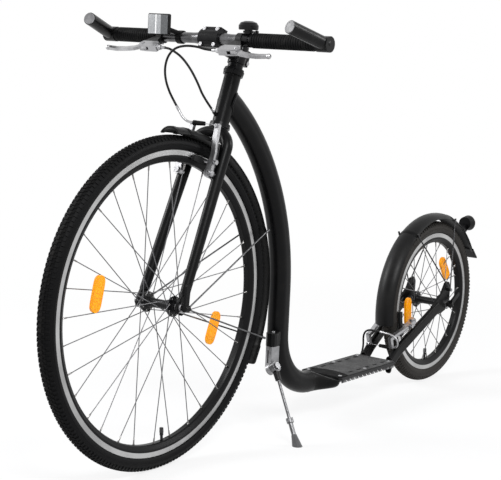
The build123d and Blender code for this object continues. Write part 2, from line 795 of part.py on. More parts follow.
def make_brake_lever(name, side, offset):
    """Two-finger brake blade with a pivot eye, a ball end and a gentle curve ahead of the grip."""
    pin = beside_bar(side * (offset + lever_pin_place)) + lever_forward * lever_pin_ahead
    with BuildPart() as lever:
        rod(pin - lever_axis * blade_half_thickness, pin + lever_axis * blade_half_thickness, 7.5)
        outline = [
            (26, 43), (30, 52), (44, 52), (58, 60), (80, 64.5), (104, 66), (128, 63),
            (128, 55), (104, 57), (80, 55), (60, 50), (50, 42), (44, 37), (34, 38),
        ]
        slab(
            lever_plane,
            [(side * (offset + along), out) for along, out in outline],
            -blade_half_thickness,
            blade_half_thickness,
        )
        with Locations(beside_bar(side * (offset + 130)) + lever_forward * 59):
            Sphere(5.5)
        drill(pin - lever_axis * 10, pin + lever_axis * 10, 2.5 + running_gap)
    lever.part.label = name
    export_step(lever.part.moved(stance), f"parts/{name}.step")


make_lever_mount("left_lever_mount", 1, left_lever_offset)
make_lever_mount("right_lever_mount", -1, right_lever_offset)
make_brake_lever("left_brake_lever", 1, left_lever_offset)
make_brake_lever("right_brake_lever", -1, right_lever_offset)

# ==== Brakes ====

arm_length = 102
arm_pivot_side = 40
arm_tip_side = 33
arm_thickness = 9
stud_radius = 4
pad_gap = 1.6
pad_inner = rim_half_width + pad_gap
pad_drop = 4
pad_lift = 24
pad_post_radius = 3
noodle_radius = 2.6
boot_length = 28
wire_length = 68


def make_brake_studs(name, brake, depth):
    """Two pivot studs standing on the fork or the stays, with a washer-headed bolt in front of each arm."""
    with BuildPart() as studs:
        for side in (1, -1):
            foot = brake.from_local_coords(Vector(side * arm_pivot_side, 0, -depth))
            seat = brake.from_local_coords(Vector(side * arm_pivot_side, 0, -arm_thickness / 2 - touch_gap))
            head = brake.from_local_coords(Vector(side * arm_pivot_side, 0, arm_thickness / 2 + touch_gap))
            cap = brake.from_local_coords(Vector(side * arm_pivot_side, 0, arm_thickness / 2 + touch_gap + 4))
            rod(foot, seat, 7)
            rod(seat, head, stud_radius)
            rod(head, cap, 6.5)
    studs.part.label = name
    export_step(studs.part.moved(stance), f"parts/{name}.step")


def make_brake_arm(name, brake, side, centre, bead_radius, arm_angle, guide=None, link=0):
    """Brake arm from its pivot to its tip with its pad and, on one side, the cable guide, boot and wire.

    A link is the plate that hangs from the tip where the cable runs below the arms.
    """
    half = arm_thickness / 2
    hand = side * brake.x_dir.Y
    pad_reach = bead_radius - pad_drop
    pad_post = round_wheel(centre, arm_angle, pad_reach, side * (pad_inner + 6))
    post_end = round_wheel(centre, arm_angle, pad_reach, side * (arm_pivot_side + 9))
    nut_end = post_end + Vector(0, side * 5, 0)
    with BuildPart() as arm:
        outline = [
            (arm_pivot_side + 8, -3), (arm_pivot_side + 7, 20), (arm_pivot_side + 6, 45), (arm_tip_side + 7, 78),
            (arm_tip_side + 4, arm_length + 3), (arm_tip_side - 5, arm_length + 3), (arm_tip_side - 4, 78),
            (arm_pivot_side - 5, 45), (arm_pivot_side - 7, 20), (arm_pivot_side - 8, -3),
        ]
        slab(brake, [(hand * across, out) for across, out in outline], -half, half)
        hub_foot = brake.from_local_coords(Vector(hand * arm_pivot_side, 0, -half))
        hub_top = brake.from_local_coords(Vector(hand * arm_pivot_side, 0, half))
        rod(hub_foot, hub_top, 10)
        drill(pad_post, nut_end, pad_post_radius + running_gap)
        drill(hub_foot - (hub_top - hub_foot), hub_top + (hub_top - hub_foot), stud_radius + running_gap)
        if link:
            slab(
                brake,
                [
                    (hand * (arm_tip_side - 5), arm_length - 7),
                    (hand * (arm_tip_side + 4), arm_length - 7),
                    (hand * (arm_tip_side + 4), arm_length + 3),
                    (hand * (arm_tip_side - 5), arm_length + 3),
                ],
                link,
                0,
            )
        if guide:
            hose(guide, noodle_radius)
            inward = Vector(0, -side, 0)
            rod(guide[-1] - inward, guide[-1] + inward * boot_length, 4, 3)
            rod(guide[-1], guide[-1] + inward * wire_length, 0.8)
    with BuildPart() as pad:
        half_arc = degrees(33 / pad_reach)
        turned(
            radial_plane(centre, arm_angle - half_arc),
            [
                (pad_reach - 5, side * pad_inner),
                (pad_reach + 5, side * pad_inner),
                (pad_reach + 6, side * (pad_inner + 7)),
                (pad_reach - 6, side * (pad_inner + 7)),
            ],
            Axis(centre, (0, -1, 0)),
            arc=2 * half_arc,
        )
        rod(pad_post, post_end, pad_post_radius)
        rod(post_end, nut_end, 5)
    both = Compound(label=name, children=[arm.part, pad.part])
    export_step(both.moved(stance), f"parts/{name}.step")


front_pivot_reach = front_bead_radius - 28
front_pivot = on_fork(46, 0, front_pivot_reach)
front_brake = Plane(origin=front_pivot, x_dir=(0, 1, 0), z_dir=ahead)
front_pad_place = front_pivot + up_steerer * pad_lift - front_axle
front_pad_angle = degrees(atan2(front_pad_place.Z, front_pad_place.X))
front_guide = [
    on_fork(67, -62, front_pivot_reach + 121),
    on_fork(61, -53, front_pivot_reach + 109),
    on_fork(54, -44, front_pivot_reach + 103),
    on_fork(52.5, -27, front_pivot_reach + 102),
]
make_brake_studs("front_brake_studs", front_brake, 13.2)
make_brake_arm("left_front_brake_arm", front_brake, 1, front_axle, front_bead_radius, front_pad_angle)
make_brake_arm(
    "right_front_brake_arm", front_brake, -1, front_axle, front_bead_radius, front_pad_angle, front_guide
)

rear_brake_angle = -20
rear_out = Vector(cos(radians(rear_brake_angle)), 0, sin(radians(rear_brake_angle)))
rear_lift = Vector(-rear_out.Z, 0, rear_out.X)
rear_pivot = rear_axle + rear_out * (rear_bead_radius - 28) + rear_lift * 22
rear_brake = Plane(origin=rear_pivot, x_dir=(0, -1, 0), z_dir=rear_lift)
rear_pad_place = rear_pivot + rear_out * pad_lift - rear_axle
rear_pad_angle = degrees(atan2(rear_pad_place.Z, rear_pad_place.X))
link_drop = -25


def behind_deck(left, out, lift):
    """Point in the rear brake's plane: to the left, outward along the arms, and up off them."""
    return rear_brake.from_local_coords(Vector(-left, out, lift))


rear_guide = [
    behind_deck(12, 96, 13),
    behind_deck(33, 98, 13),
    behind_deck(50, 99, 5),
    behind_deck(53, 99, -12),
    behind_deck(43, 98, -26),
    behind_deck(24, 98, -27),
]
make_brake_studs("rear_brake_studs", rear_brake, 12)
make_brake_arm(
    "left_rear_brake_arm", rear_brake, 1, rear_axle, rear_bead_radius, rear_pad_angle, rear_guide, link_drop
)
make_brake_arm(
    "right_rear_brake_arm", rear_brake, -1, rear_axle, rear_bead_radius, rear_pad_angle, None, link_drop
)

# ==== Main tube and footboard ====

tube_joint = on_fork(0, 0, head_tube_base + 54)
riser_x = -(front_wheel_radius + 77)
sweep_radius = 523
bend_radius = 135
beam_height = 90
sweep_centre_x = riser_x + sweep_radius
sweep_centre_z = tube_joint.Z - sqrt(sweep_radius**2 - (tube_joint.X - sweep_centre_x) ** 2)
joint_angle = degrees(atan2(tube_joint.Z - sweep_centre_z, tube_joint.X - sweep_centre_x))
bend_end_x = riser_x - bend_radius
deck_back = -wheelbase + rear_wheel_radius + 37
deck_front = deck_back + deck_length
plate_thickness = 3
sheet_thickness = 1
beam_top = deck_height - sheet_thickness - plate_thickness
beam_blend = deck_front + 1
beam_half_width = 45


def cross_plane(place):
    """Upright plane across the scooter: local X to the left, local Y up."""
    return Plane(origin=(place, 0, 0), x_dir=(0, 1, 0), z_dir=(1, 0, 0))


def round_section(plane, inset):
    """Oval section of the main tube, smaller by an inset all round."""
    corner = main_tube_width / 2 - 0.5 - inset
    with BuildSketch(plane) as section:
        RectangleRounded(main_tube_width - 2 * inset, main_tube_depth - 2 * inset, corner)
    return section.sketch


def beam_section(plane, inset):
    """Hull section under the footboard: flat top, sloping lower sides."""
    half = beam_half_width - inset
    with BuildSketch(plane) as section:
        Polygon(
            (-half, beam_top - inset),
            (half, beam_top - inset),
            (half, beam_top - 10),
            (16 - inset / 2, beam_top - 26 + inset),
            (inset / 2 - 16, beam_top - 26 + inset),
            (-half, beam_top - 10),
            align=None,
        )
        fillet(section.vertices(), 3)
    return section.sketch


def tube_length(inset, mode):
    """Curved tube, its flattening stretch and the beam under the footboard, as one solid."""
    with BuildLine(Plane.XZ) as route:
        CenterArc((sweep_centre_x, sweep_centre_z), sweep_radius, joint_angle, 180 - joint_angle)
        Line((riser_x, sweep_centre_z), (riser_x, beam_height + bend_radius))
        CenterArc((bend_end_x, beam_height + bend_radius), bend_radius, 0, -90)
    start = Plane(origin=route.line @ 0, x_dir=(0, 1, 0), z_dir=route.line % 0)
    sweep(round_section(start, inset), path=route.line, mode=mode)
    middle = Plane(origin=(bend_end_x, 0, beam_height), x_dir=(0, 1, 0), z_dir=(1, 0, 0))
    loft([round_section(middle, inset), beam_section(cross_plane(beam_blend), inset)], mode=mode)
    extrude(beam_section(cross_plane(beam_blend), inset), amount=deck_back - beam_blend + 2 * inset, mode=mode)


with BuildPart() as main_tube:
    tube_length(0, Mode.ADD)
    tube_length(main_tube_wall, Mode.SUBTRACT)
    drill(on_fork(0, 0, head_tube_base - 60), on_fork(0, 0, head_tube_top + 60), head_tube_radius)
main_tube.part.label = "main_tube"
export_step(main_tube.part.moved(stance), "parts/main_tube.step")

skirt_drop = 14
tooth_pitch = 18
with BuildPart() as deck_plate:
    with BuildSketch(Plane.XY.offset(beam_top)):
        with Locations(((deck_front + deck_back) / 2, 0)):
            RectangleRounded(deck_length, deck_width, 8)
    extrude(amount=plate_thickness)
    for side in (1, -1):
        edge = side * (deck_width / 2 - 1)
        with BuildSketch(Plane.XY.offset(beam_top + plate_thickness - skirt_drop)) as skirt:
            with Locations(((deck_front + deck_back) / 2, edge)):
                Rectangle(deck_length - 16, 2)
        extrude(skirt.sketch, amount=skirt_drop)
    teeth = int((deck_length - 40) // tooth_pitch)
    for tooth in range(teeth):
        place = deck_back + 22 + tooth * tooth_pitch
        low = beam_top + plate_thickness - skirt_drop
        slab(
            Plane(origin=(0, 0, 0), x_dir=(1, 0, 0), z_dir=(0, -1, 0)),
            [(place, low - 1), (place + 8, low + 7), (place + 13, low + 7), (place + 5, low - 1)],
            -deck_width,
            deck_width,
            mode=Mode.SUBTRACT,
        )
deck_plate.part.label = "deck_plate"
export_step(deck_plate.part.moved(stance), "parts/deck_plate.step")

dimple_pitch = 37
with BuildPart() as deck_tread:
    with BuildSketch(Plane.XY.offset(deck_height - sheet_thickness)) as sheet:
        with Locations(((deck_front + deck_back) / 2, 0)):
            RectangleRounded(deck_length - 4, deck_width - 4, 6)
        with Locations(((deck_front + deck_back) / 2, 0)):
            with GridLocations(dimple_pitch, 80, 6, 2):
                SlotOverall(20, 8, mode=Mode.SUBTRACT)
    extrude(sheet.sketch, amount=sheet_thickness)
deck_tread.part.label = "deck_tread"
export_step(deck_tread.part.moved(stance), "parts/deck_tread.step")

# ==== Rear stays and dropouts ====

stay_side = 38
stay_height = 30
stay_width = 14
stay_wall = 2
dropout_inner = rear_span / 2
upright_side = Plane(origin=(0, 0, 0), x_dir=(1, 0, 0), z_dir=(0, -1, 0))

with BuildPart() as rear_dropouts:
    for side in (1, -1):
        outline = [
            (70, -24), (74, 0), (28, 30), (10, 56), (-8, 58),
            (-16, 46), (-15, 0), (-10, -14), (10, -17), (26, -22),
        ]
        low = -dropout_inner - dropout_thickness if side > 0 else dropout_inner
        placed = [(along - wheelbase, up + rear_wheel_radius) for along, up in outline]
        slab(upright_side, placed, low, low + dropout_thickness)
    drill(rear_axle - Vector(0, 80, 0), rear_axle + Vector(0, 80, 0), axle_radius + running_gap)
    drill(rear_axle + Vector(-3, -80, 38), rear_axle + Vector(-3, 80, 38), 4)
    slab(
        upright_side,
        [
            (-wheelbase - slot_half, rear_wheel_radius),
            (-wheelbase + slot_half, rear_wheel_radius),
            (-wheelbase + slot_half, rear_wheel_radius - 30),
            (-wheelbase - slot_half, rear_wheel_radius - 30),
        ],
        -80,
        80,
        mode=Mode.SUBTRACT,
    )
rear_dropouts.part.label = "rear_dropouts"
export_step(rear_dropouts.part.moved(stance), "parts/rear_dropouts.step")

with BuildPart() as rear_stays:
    for side in (1, -1):
        with BuildLine() as stay_line:
            FilletPolyline(
                (deck_back + 18, side * (stay_side - 1), beam_top - 24),
                (deck_back - 37, side * (stay_side + 2), beam_top + 21),
                (-wheelbase + 43, side * (dropout_inner + 4), rear_wheel_radius - 3),
                radius=120,
            )
        foot = Plane(origin=stay_line.line @ 0, x_dir=(0, 1, 0), z_dir=stay_line.line % 0)
        for inset, mode in ((0, Mode.ADD), (stay_wall, Mode.SUBTRACT)):
            with BuildSketch(foot) as section:
                RectangleRounded(stay_width - 2 * inset, stay_height - 2 * inset, 6 - inset)
            sweep(section.sketch, path=stay_line.line, mode=mode)
    slab(
        Plane.XY,
        [(deck_back, -100), (deck_back + 100, -100), (deck_back + 100, 100), (deck_back, 100)],
        0,
        200,
        mode=Mode.SUBTRACT,
    )
    add(rear_dropouts.part, mode=Mode.SUBTRACT)
rear_stays.part.label = "rear_stays"
export_step(rear_stays.part.moved(stance), "parts/rear_stays.step")

# ==== Mudguards ====

fender_thickness = 1.8
front_fender_outer = front_wheel_radius + fender_gap + 1
rear_fender_outer = rear_wheel_radius + 22
front_fender_half = 24
rear_fender_half = 27


def fender_section(plane, outer, half, crown):
    """Thin curved section of a mudguard: an arch that drops towards both edges."""
    rise = outer - crown
    with BuildSketch(plane) as section:
        with BuildLine():
            ThreePointArc((rise, -half), (outer, 0), (rise, half))
            Line((rise, half), (rise - 0.2, half - fender_thickness))
            ThreePointArc((rise - 0.2, half - fender_thickness), (outer - fender_thickness, 0),
                          (rise - 0.2, fender_thickness - half))
            Line((rise - 0.2, fender_thickness - half), (rise, -half))
        make_face()
    return section.sketch


def make_fender(name, centre, outer, half, start, end, flap):
    """Mudguard following a wheel between two angles, with a flap at its tail."""
    with BuildPart() as fender:
        revolve(
            fender_section(radial_plane(centre, start), outer, half, 13),
            axis=Axis(centre, (0, -1, 0)),
            revolution_arc=end - start,
        )
        if flap:
            slab(Plane(origin=(0, 0, 0), x_dir=(1, 0, 0), z_dir=(0, -1, 0)), flap, 4 - half, half - 4)
    fender.part.label = name
    export_step(fender.part.moved(stance), f"parts/{name}.step")


rear_tail = round_wheel(rear_axle, 149, rear_fender_outer - 2)
rear_flap = [
    (rear_tail.X + 4, rear_tail.Z + 1),
    (rear_tail.X + 4, rear_tail.Z + 4),
    (-tail_reach, rear_tail.Z - 22),
    (-tail_reach + 1.5, rear_tail.Z - 25),
]
make_fender("front_fender", front_axle, front_fender_outer, front_fender_half, 91.5, 209, None)
make_fender("rear_fender", rear_axle, rear_fender_outer, rear_fender_half, -9, 150, rear_flap)


def make_fender_stays(name, centre, base, outer, half, angles, inner, standoff):
    """Wire stays from eyelets outside the dropouts to small clips on the mudguard's edges."""
    with BuildPart() as stays:
        for side in (1, -1):
            eyelet = base + Vector(0, side * (inner + standoff), 0)
            rod(base + Vector(0, side * inner, 0), eyelet + Vector(0, side * 2, 0), 3.8)
            for angle in angles:
                edge = round_wheel(centre, angle, outer - 18, side * (half + 2.5))
                rod(eyelet, edge, 1.75)
                rod(edge, round_wheel(centre, angle, outer - 6, side * (half + 2)), 2.6)
    stays.part.label = name
    export_step(stays.part.moved(stance), f"parts/{name}.step")


make_fender_stays(
    "front_fender_stays",
    front_axle,
    on_fork(fork_offset - eyelet_back, 0, 1),
    front_fender_outer,
    front_fender_half,
    (159, 199),
    fork_span / 2 + dropout_thickness,
    3,
)
make_fender_stays(
    "rear_fender_stays",
    rear_axle,
    rear_axle + Vector(-3, 0, 38),
    rear_fender_outer,
    rear_fender_half,
    (57, 108),
    rear_span / 2 + dropout_thickness,
    7,
)

# ==== Rear light ====

light_angle = 135
light_centre = round_wheel(rear_axle, light_angle, rear_fender_outer + 38)
with BuildPart() as rear_light:
    turned(
        Plane(origin=light_centre, x_dir=(1, 0, 0), z_dir=(0, -1, 0)),
        [(14, 0), (14, 18), (-8, 21), (-16, 17), (-16, 0)],
        Axis(light_centre, (1, 0, 0)),
    )
    light_foot = round_wheel(rear_axle, light_angle - 1, rear_fender_outer + 0.2)
    slab(
        Plane(origin=(0, 0, 0), x_dir=(1, 0, 0), z_dir=(0, -1, 0)),
        [
            (light_foot.X - 5, light_foot.Z - 5),
            (light_foot.X + 10, light_foot.Z + 10),
            (light_centre.X + 12, light_centre.Z),
            (light_centre.X, light_centre.Z - 12),
        ],
        -7,
        7,
    )
rear_light.part.label = "rear_light"
export_step(rear_light.part.moved(stance), "parts/rear_light.step")

# ==== Side stand ====

stand_pivot = Vector(riser_x + 62, 40, 163)
stand_foot = Vector(riser_x + 101, 137, 137 * tan(radians(lean)))
stand_down = (stand_foot - stand_pivot).normalized()
stand_length = (stand_foot - stand_pivot).length
stand_axis = stand_down.cross(Vector(-1, 0, 0)).normalized()
hub_half = 6
boss_radius = 13

tube_front = riser_x + main_tube_depth / 2
bracket_top = 206
with BuildPart() as kickstand_lug:
    slab(
        Plane.XY,
        [
            (tube_front - 12, -4), (tube_front + 18, 3), (tube_front + 29, 7), (tube_front + 34, 14),
            (tube_front + 34, 25), (tube_front + 29, 31), (tube_front + 20, 31), (tube_front - 6, 22),
        ],
        bracket_top,
        bracket_top + 30,
    )
    add(main_tube.part, mode=Mode.SUBTRACT)
    slab(
        Plane.XY,
        [(riser_x - 25, -30), (tube_front - 3.5, -30), (tube_front - 3.5, 20), (riser_x - 25, 20)],
        bracket_top - 6,
        bracket_top + 34,
        mode=Mode.SUBTRACT,
    )
kickstand_lug.part.label = "kickstand_lug"
export_step(kickstand_lug.part.moved(stance), "parts/kickstand_lug.step")

with BuildPart() as kickstand_bracket:
    slab(
        Plane.XY,
        [
            (tube_front + 3, 8), (tube_front + 32, 10), (tube_front + 32, 26), (tube_front + 20, 30),
            (tube_front + 8, 30),
        ],
        bracket_top - 50,
        bracket_top,
    )
    rod(stand_pivot - stand_axis * 18, stand_pivot - stand_axis * (hub_half + touch_gap), boss_radius)
    rod(stand_pivot - stand_axis * 8, stand_pivot + stand_axis * (hub_half + touch_gap), 5)
    rod(stand_pivot + stand_axis * (hub_half + touch_gap), stand_pivot + stand_axis * (hub_half + 4), 8)
kickstand_bracket.part.label = "kickstand_bracket"
export_step(kickstand_bracket.part.moved(stance), "parts/kickstand_bracket.step")

rod_end = 150
clamp_place = 122
with BuildPart() as kickstand_leg:
    rod(stand_pivot - stand_axis * hub_half, stand_pivot + stand_axis * hub_half, 12.5)
    rod(stand_pivot + stand_down * (boss_radius + touch_gap), stand_pivot + stand_down * 32, 8, 7)
    rod(stand_pivot, stand_pivot + stand_down * rod_end, 3.5)
    drill(stand_pivot - stand_axis * 20, stand_pivot + stand_axis * 20, 5 + running_gap)
kickstand_leg.part.label = "kickstand_leg"
export_step(kickstand_leg.part.moved(stance), "parts/kickstand_leg.step")

with BuildPart() as kickstand_foot:
    rod(stand_pivot + stand_down * clamp_place, stand_pivot + stand_down * (stand_length - 8), 5.2)
    rod(stand_pivot + stand_down * clamp_place, stand_pivot + stand_down * (clamp_place + 11), 8)
    rod(stand_pivot + stand_down * (stand_length - 26), stand_pivot + stand_down * (stand_length + 12), 6, 13)
    drill(stand_pivot + stand_down * (clamp_place - 5), stand_pivot + stand_down * (rod_end + 28), 3.5 + running_gap)
    ground = Plane(origin=(0, 0, 0), x_dir=(1, 0, 0), z_dir=(0, -sin(radians(lean)), cos(radians(lean))))
    slab(ground, [(-500, 0), (0, 0), (0, 300), (-500, 300)], -60, 0, mode=Mode.SUBTRACT)
kickstand_foot.part.label = "kickstand_foot"
export_step(kickstand_foot.part.moved(stance), "parts/kickstand_foot.step")

# ==== Brake cables ====

cable_radius = 2.5
left_barrel = beside_bar(left_lever_offset - 9 - touch_gap) + lever_forward * adjuster_ahead
right_barrel = beside_bar(9 + touch_gap - right_lever_offset) + lever_forward * adjuster_ahead

guide_direction = (front_guide[0] - front_guide[1]).normalized()
guide_mouth = front_guide[0] + guide_direction * touch_gap
front_cable_route = [
    left_barrel,
    left_barrel - Vector(0, 14, 0),
    (-93, 12, 867),
    (-91, -4, 871),
    (-87, -31, 872),
    (-84, -56, 866),
    (-84, -74, 849),
    (-86, -83, 825),
    (-91, -84, 799),
    (-98, -78, 774),
    guide_mouth + guide_direction * 24,
    guide_mouth,
]
with BuildPart() as front_cable:
    hose(front_cable_route, cable_radius)
front_cable.part.label = "front_cable"
export_step(front_cable.part.moved(stance), "parts/front_cable.step")

rear_cable_route = [
    right_barrel,
    right_barrel + Vector(0, 14, 0),
    (-95, -74, 862),
    (-101, -52, 849),
    (-109, -33, 825),
    (-118, -19, 796),
    stop_approach,
    stop_mouth,
]
rear_direction = (rear_guide[0] - rear_guide[1]).normalized()
rear_mouth = rear_guide[0] + rear_direction * touch_gap
rear_loop_route = [
    Vector(deck_back + 40, -beam_half_width - cable_radius - touch_gap, beam_top - 7),
    Vector(deck_back + 8, -beam_half_width - cable_radius - 0.6, beam_top - 7),
    Vector(deck_back - 12, -51.5, beam_top + 2),
    Vector(deck_back - 20, -52, beam_top + 24),
    behind_deck(-50, 99, -4),
    behind_deck(-38, 97, 13),
    rear_mouth + rear_direction * 26,
    rear_mouth,
]
with BuildPart() as rear_cable:
    hose(rear_cable_route, cable_radius)
    hose(rear_loop_route, cable_radius)
rear_cable.part.label = "rear_cable"
export_step(rear_cable.part.moved(stance), "parts/rear_cable.step")
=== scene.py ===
import json
import math

import bmesh
import bpy
import numpy as np
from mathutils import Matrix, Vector


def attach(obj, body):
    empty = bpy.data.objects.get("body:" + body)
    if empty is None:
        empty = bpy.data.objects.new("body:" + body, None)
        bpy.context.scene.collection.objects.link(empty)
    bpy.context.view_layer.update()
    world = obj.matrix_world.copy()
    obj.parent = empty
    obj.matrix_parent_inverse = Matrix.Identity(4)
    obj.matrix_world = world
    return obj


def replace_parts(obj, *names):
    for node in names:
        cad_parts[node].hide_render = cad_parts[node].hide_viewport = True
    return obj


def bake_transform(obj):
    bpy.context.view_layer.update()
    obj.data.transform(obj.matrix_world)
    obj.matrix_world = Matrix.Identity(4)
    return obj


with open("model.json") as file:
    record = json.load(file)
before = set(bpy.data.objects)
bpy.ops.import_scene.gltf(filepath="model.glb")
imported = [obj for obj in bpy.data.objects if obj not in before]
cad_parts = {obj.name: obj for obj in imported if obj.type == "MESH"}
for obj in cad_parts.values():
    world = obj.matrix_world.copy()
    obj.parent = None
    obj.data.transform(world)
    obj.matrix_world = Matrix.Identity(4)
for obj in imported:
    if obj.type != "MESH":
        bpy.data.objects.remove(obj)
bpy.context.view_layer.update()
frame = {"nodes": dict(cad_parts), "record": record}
nodes = frame["nodes"]
joints = {joint["name"]: joint for joint in frame["record"]["behaviour"]["joints"]}

# ---------------------------------------------------------------------------------------------------------
# The scooter leans on its side stand, so its own axes are tilted in the row's frame. They come from the
# wheel joints: the front wheel turns about the scooter's left axis, and the axle stands 347 mm up.
# ---------------------------------------------------------------------------------------------------------
left = np.array(joints["front_wheel_spin"]["axis"])
ahead = np.array([1.0, 0.0, 0.0])
up = np.cross(ahead, left)
front_axle = np.array([0, 0, 0.347])
rear_axle = np.array([-1.12, 0, 0.215])
ground_under_front_axle = np.array(joints["front_wheel_spin"]["pos_m"]) - 0.347 * up


def leaned(points):
    """Scooter coordinates (ahead, left, up) times the tilted axes, plus the place under the front axle."""
    return ground_under_front_axle + np.asarray(points, float) @ np.array([ahead, left, up])


# ---------------------------------------------------------------------------------------------------------
# Studio: a white paper floor, a soft lamp over each side of the scooter and one behind, and a long lens
# at knee height off the front left quarter.
# ---------------------------------------------------------------------------------------------------------
scene = bpy.context.scene
scene.view_settings.view_transform = "Standard"

world = bpy.data.worlds.new("studio_air")
scene.world = world
world.use_nodes = True
air = world.node_tree
air.nodes.clear()
air_out = air.nodes.new("ShaderNodeOutputWorld")
air_shown = air.nodes.new("ShaderNodeBackground")
air_light = air.nodes.new("ShaderNodeBackground")
air_mix = air.nodes.new("ShaderNodeMixShader")
air_path = air.nodes.new("ShaderNodeLightPath")
air_shown.inputs["Color"].default_value = (1, 1, 1, 1)
air_shown.inputs["Strength"].default_value = 1.0
air_light.inputs["Color"].default_value = (0.97, 0.98, 1, 1)
air_light.inputs["Strength"].default_value = 0.5


def any_ray(tree, path, names):
    """Largest of the named Light Path outputs."""
    result = path.outputs[names[0]]
    for name in names[1:]:
        larger = tree.nodes.new("ShaderNodeMath")
        larger.operation = "MAXIMUM"
        tree.links.new(result, larger.inputs[0])
        tree.links.new(path.outputs[name], larger.inputs[1])
        result = larger.outputs[0]
    return result


def maths(tree, operation, first, second=0.0, third=0.0):
    """One Math node; each term is a socket or a number."""
    node = tree.nodes.new("ShaderNodeMath")
    node.operation = operation
    for socket, term in zip(node.inputs, (first, second, third)):
        if isinstance(term, (int, float)):
            socket.default_value = term
        else:
            tree.links.new(term, socket)
    return node.outputs[0]


def vectors(tree, operation, first, second=(0, 0, 0), result="Vector"):
    """One Vector Math node; each term is a socket or three numbers."""
    node = tree.nodes.new("ShaderNodeVectorMath")
    node.operation = operation
    for socket, term in zip(node.inputs, (first, second)):
        if hasattr(term, "node"):
            tree.links.new(term, socket)
        else:
            socket.default_value = tuple(float(part) for part in term)
    return node.outputs[result]


def place_on(tree):
    """Object coordinates, which are the row's own coordinates in metres."""
    return tree.nodes.new("ShaderNodeTexCoord").outputs["Object"]


def spread(tree, source, low, high, start=0.35, end=0.65):
    """Source values from start to end, moved to low to high and held there."""
    node = tree.nodes.new("ShaderNodeMapRange")
    for socket, value in zip(("From Min", "From Max", "To Min", "To Max"), (start, end, low, high)):
        node.inputs[socket].default_value = value
    tree.links.new(source, node.inputs["Value"])
    return node.outputs["Result"]


seen_rays = ["Is Camera Ray", "Is Glossy Ray", "Is Transmission Ray"]
air.links.new(any_ray(air, air_path, seen_rays), air_mix.inputs[0])
air.links.new(air_light.outputs[0], air_mix.inputs[1])
air.links.new(air_shown.outputs[0], air_mix.inputs[2])
air.links.new(air_mix.outputs[0], air_out.inputs[0])

floor_reach = 6.0
floor_mesh = bpy.data.meshes.new("studio_floor")
floor_mesh.from_pydata(
    [(-floor_reach, -floor_reach, 0), (floor_reach, -floor_reach, 0), (floor_reach, floor_reach, 0),
     (-floor_reach, floor_reach, 0)], [], [(0, 1, 2, 3)])
studio_floor = bpy.data.objects.new("studio_floor", floor_mesh)
scene.collection.objects.link(studio_floor)
paper = bpy.data.materials.new("white_paper")
paper.use_nodes = True
tree = paper.node_tree
tree.nodes.clear()
paper_out = tree.nodes.new("ShaderNodeOutputMaterial")
paper_matt = tree.nodes.new("ShaderNodeBsdfDiffuse")
paper_glow = tree.nodes.new("ShaderNodeEmission")
paper_mix = tree.nodes.new("ShaderNodeMixShader")
paper_path = tree.nodes.new("ShaderNodeLightPath")
paper_matt.inputs["Color"].default_value = (0.9, 0.9, 0.91, 1)
paper_glow.inputs["Color"].default_value = (1, 1, 1, 1)
paper_glow.inputs["Strength"].default_value = 1.0
paper_reach = vectors(tree, "LENGTH", place_on(tree), result="Value")
paper_share = maths(tree, "MULTIPLY", any_ray(tree, paper_path, seen_rays),
                    spread(tree, paper_reach, 0.80, 1.0, 0.9, 2.6))
tree.links.new(paper_share, paper_mix.inputs[0])
tree.links.new(paper_matt.outputs[0], paper_mix.inputs[1])
tree.links.new(paper_glow.outputs[0], paper_mix.inputs[2])
tree.links.new(paper_mix.outputs[0], paper_out.inputs[0])
floor_mesh.materials.append(paper)


def soft_lamp(name, place, aim, width, power):
    """Square area lamp at a place, its face turned towards the aim."""
    lamp = bpy.data.lights.new(name, "AREA")
    lamp.shape = "SQUARE"
    lamp.size = width
    lamp.energy = power
    holder = bpy.data.objects.new(name, lamp)
    scene.collection.objects.link(holder)
    holder.location = place
    holder.rotation_euler = (Vector(aim) - Vector(place)).to_track_quat("-Z", "Y").to_euler()


soft_lamp("key_softbox", (2.2, 2.6, 3.0), (0, 0, 0.4), 1.3, 95)
soft_lamp("fill_softbox", (-2.4, 2.8, 2.2), (-0.2, 0, 0.3), 1.2, 50)
soft_lamp("side_softbox", (1.5, -2.9, 2.2), (0, 0, 0.4), 1.5, 85)

lens = bpy.data.cameras.new("long_lens")
lens.sensor_fit = "HORIZONTAL"
lens.sensor_width = 36.0
lens.lens = 102.9
lens.clip_start = 0.1
lens.clip_end = 40.0
camera = bpy.data.objects.new("camera", lens)
scene.collection.objects.link(camera)
camera_turn, camera_lift, camera_distance = math.radians(36.51), math.radians(6.30), 3.198
camera_aim = np.array([-0.336, 0.0, 0.447]) + np.array([0.498, -0.04953, 0.0])
sight = np.array([math.cos(camera_lift) * math.cos(camera_turn),
                  math.cos(camera_lift) * math.sin(camera_turn),
                  math.sin(camera_lift)])
camera.location = camera_aim + camera_distance * sight
camera.rotation_euler = (math.pi / 2 - camera_lift, 0, camera_turn + math.pi / 2)
scene.camera = camera

# ---------------------------------------------------------------------------------------------------------
# Rims: extruded aluminium, black anodised, with the two brake tracks turned bright after the coating, so
# the tracks carry fine rings that run round the wheel.
# ---------------------------------------------------------------------------------------------------------


def finish(name, colour, roughness, metallic=0.0, specular=0.5, coat=0.0, coat_roughness=0.1):
    """Material with one Principled shader; returns the material, its tree and the shader."""
    material = bpy.data.materials.new(name)
    material.use_nodes = True
    material.diffuse_color = (*colour, 1)
    tree = material.node_tree
    shader = tree.nodes["Principled BSDF"]
    shader.inputs["Base Color"].default_value = (*colour, 1)
    shader.inputs["Roughness"].default_value = roughness
    shader.inputs["Metallic"].default_value = metallic
    shader.inputs["Specular IOR Level"].default_value = specular
    shader.inputs["Coat Weight"].default_value = coat
    shader.inputs["Coat Roughness"].default_value = coat_roughness
    return material, tree, shader


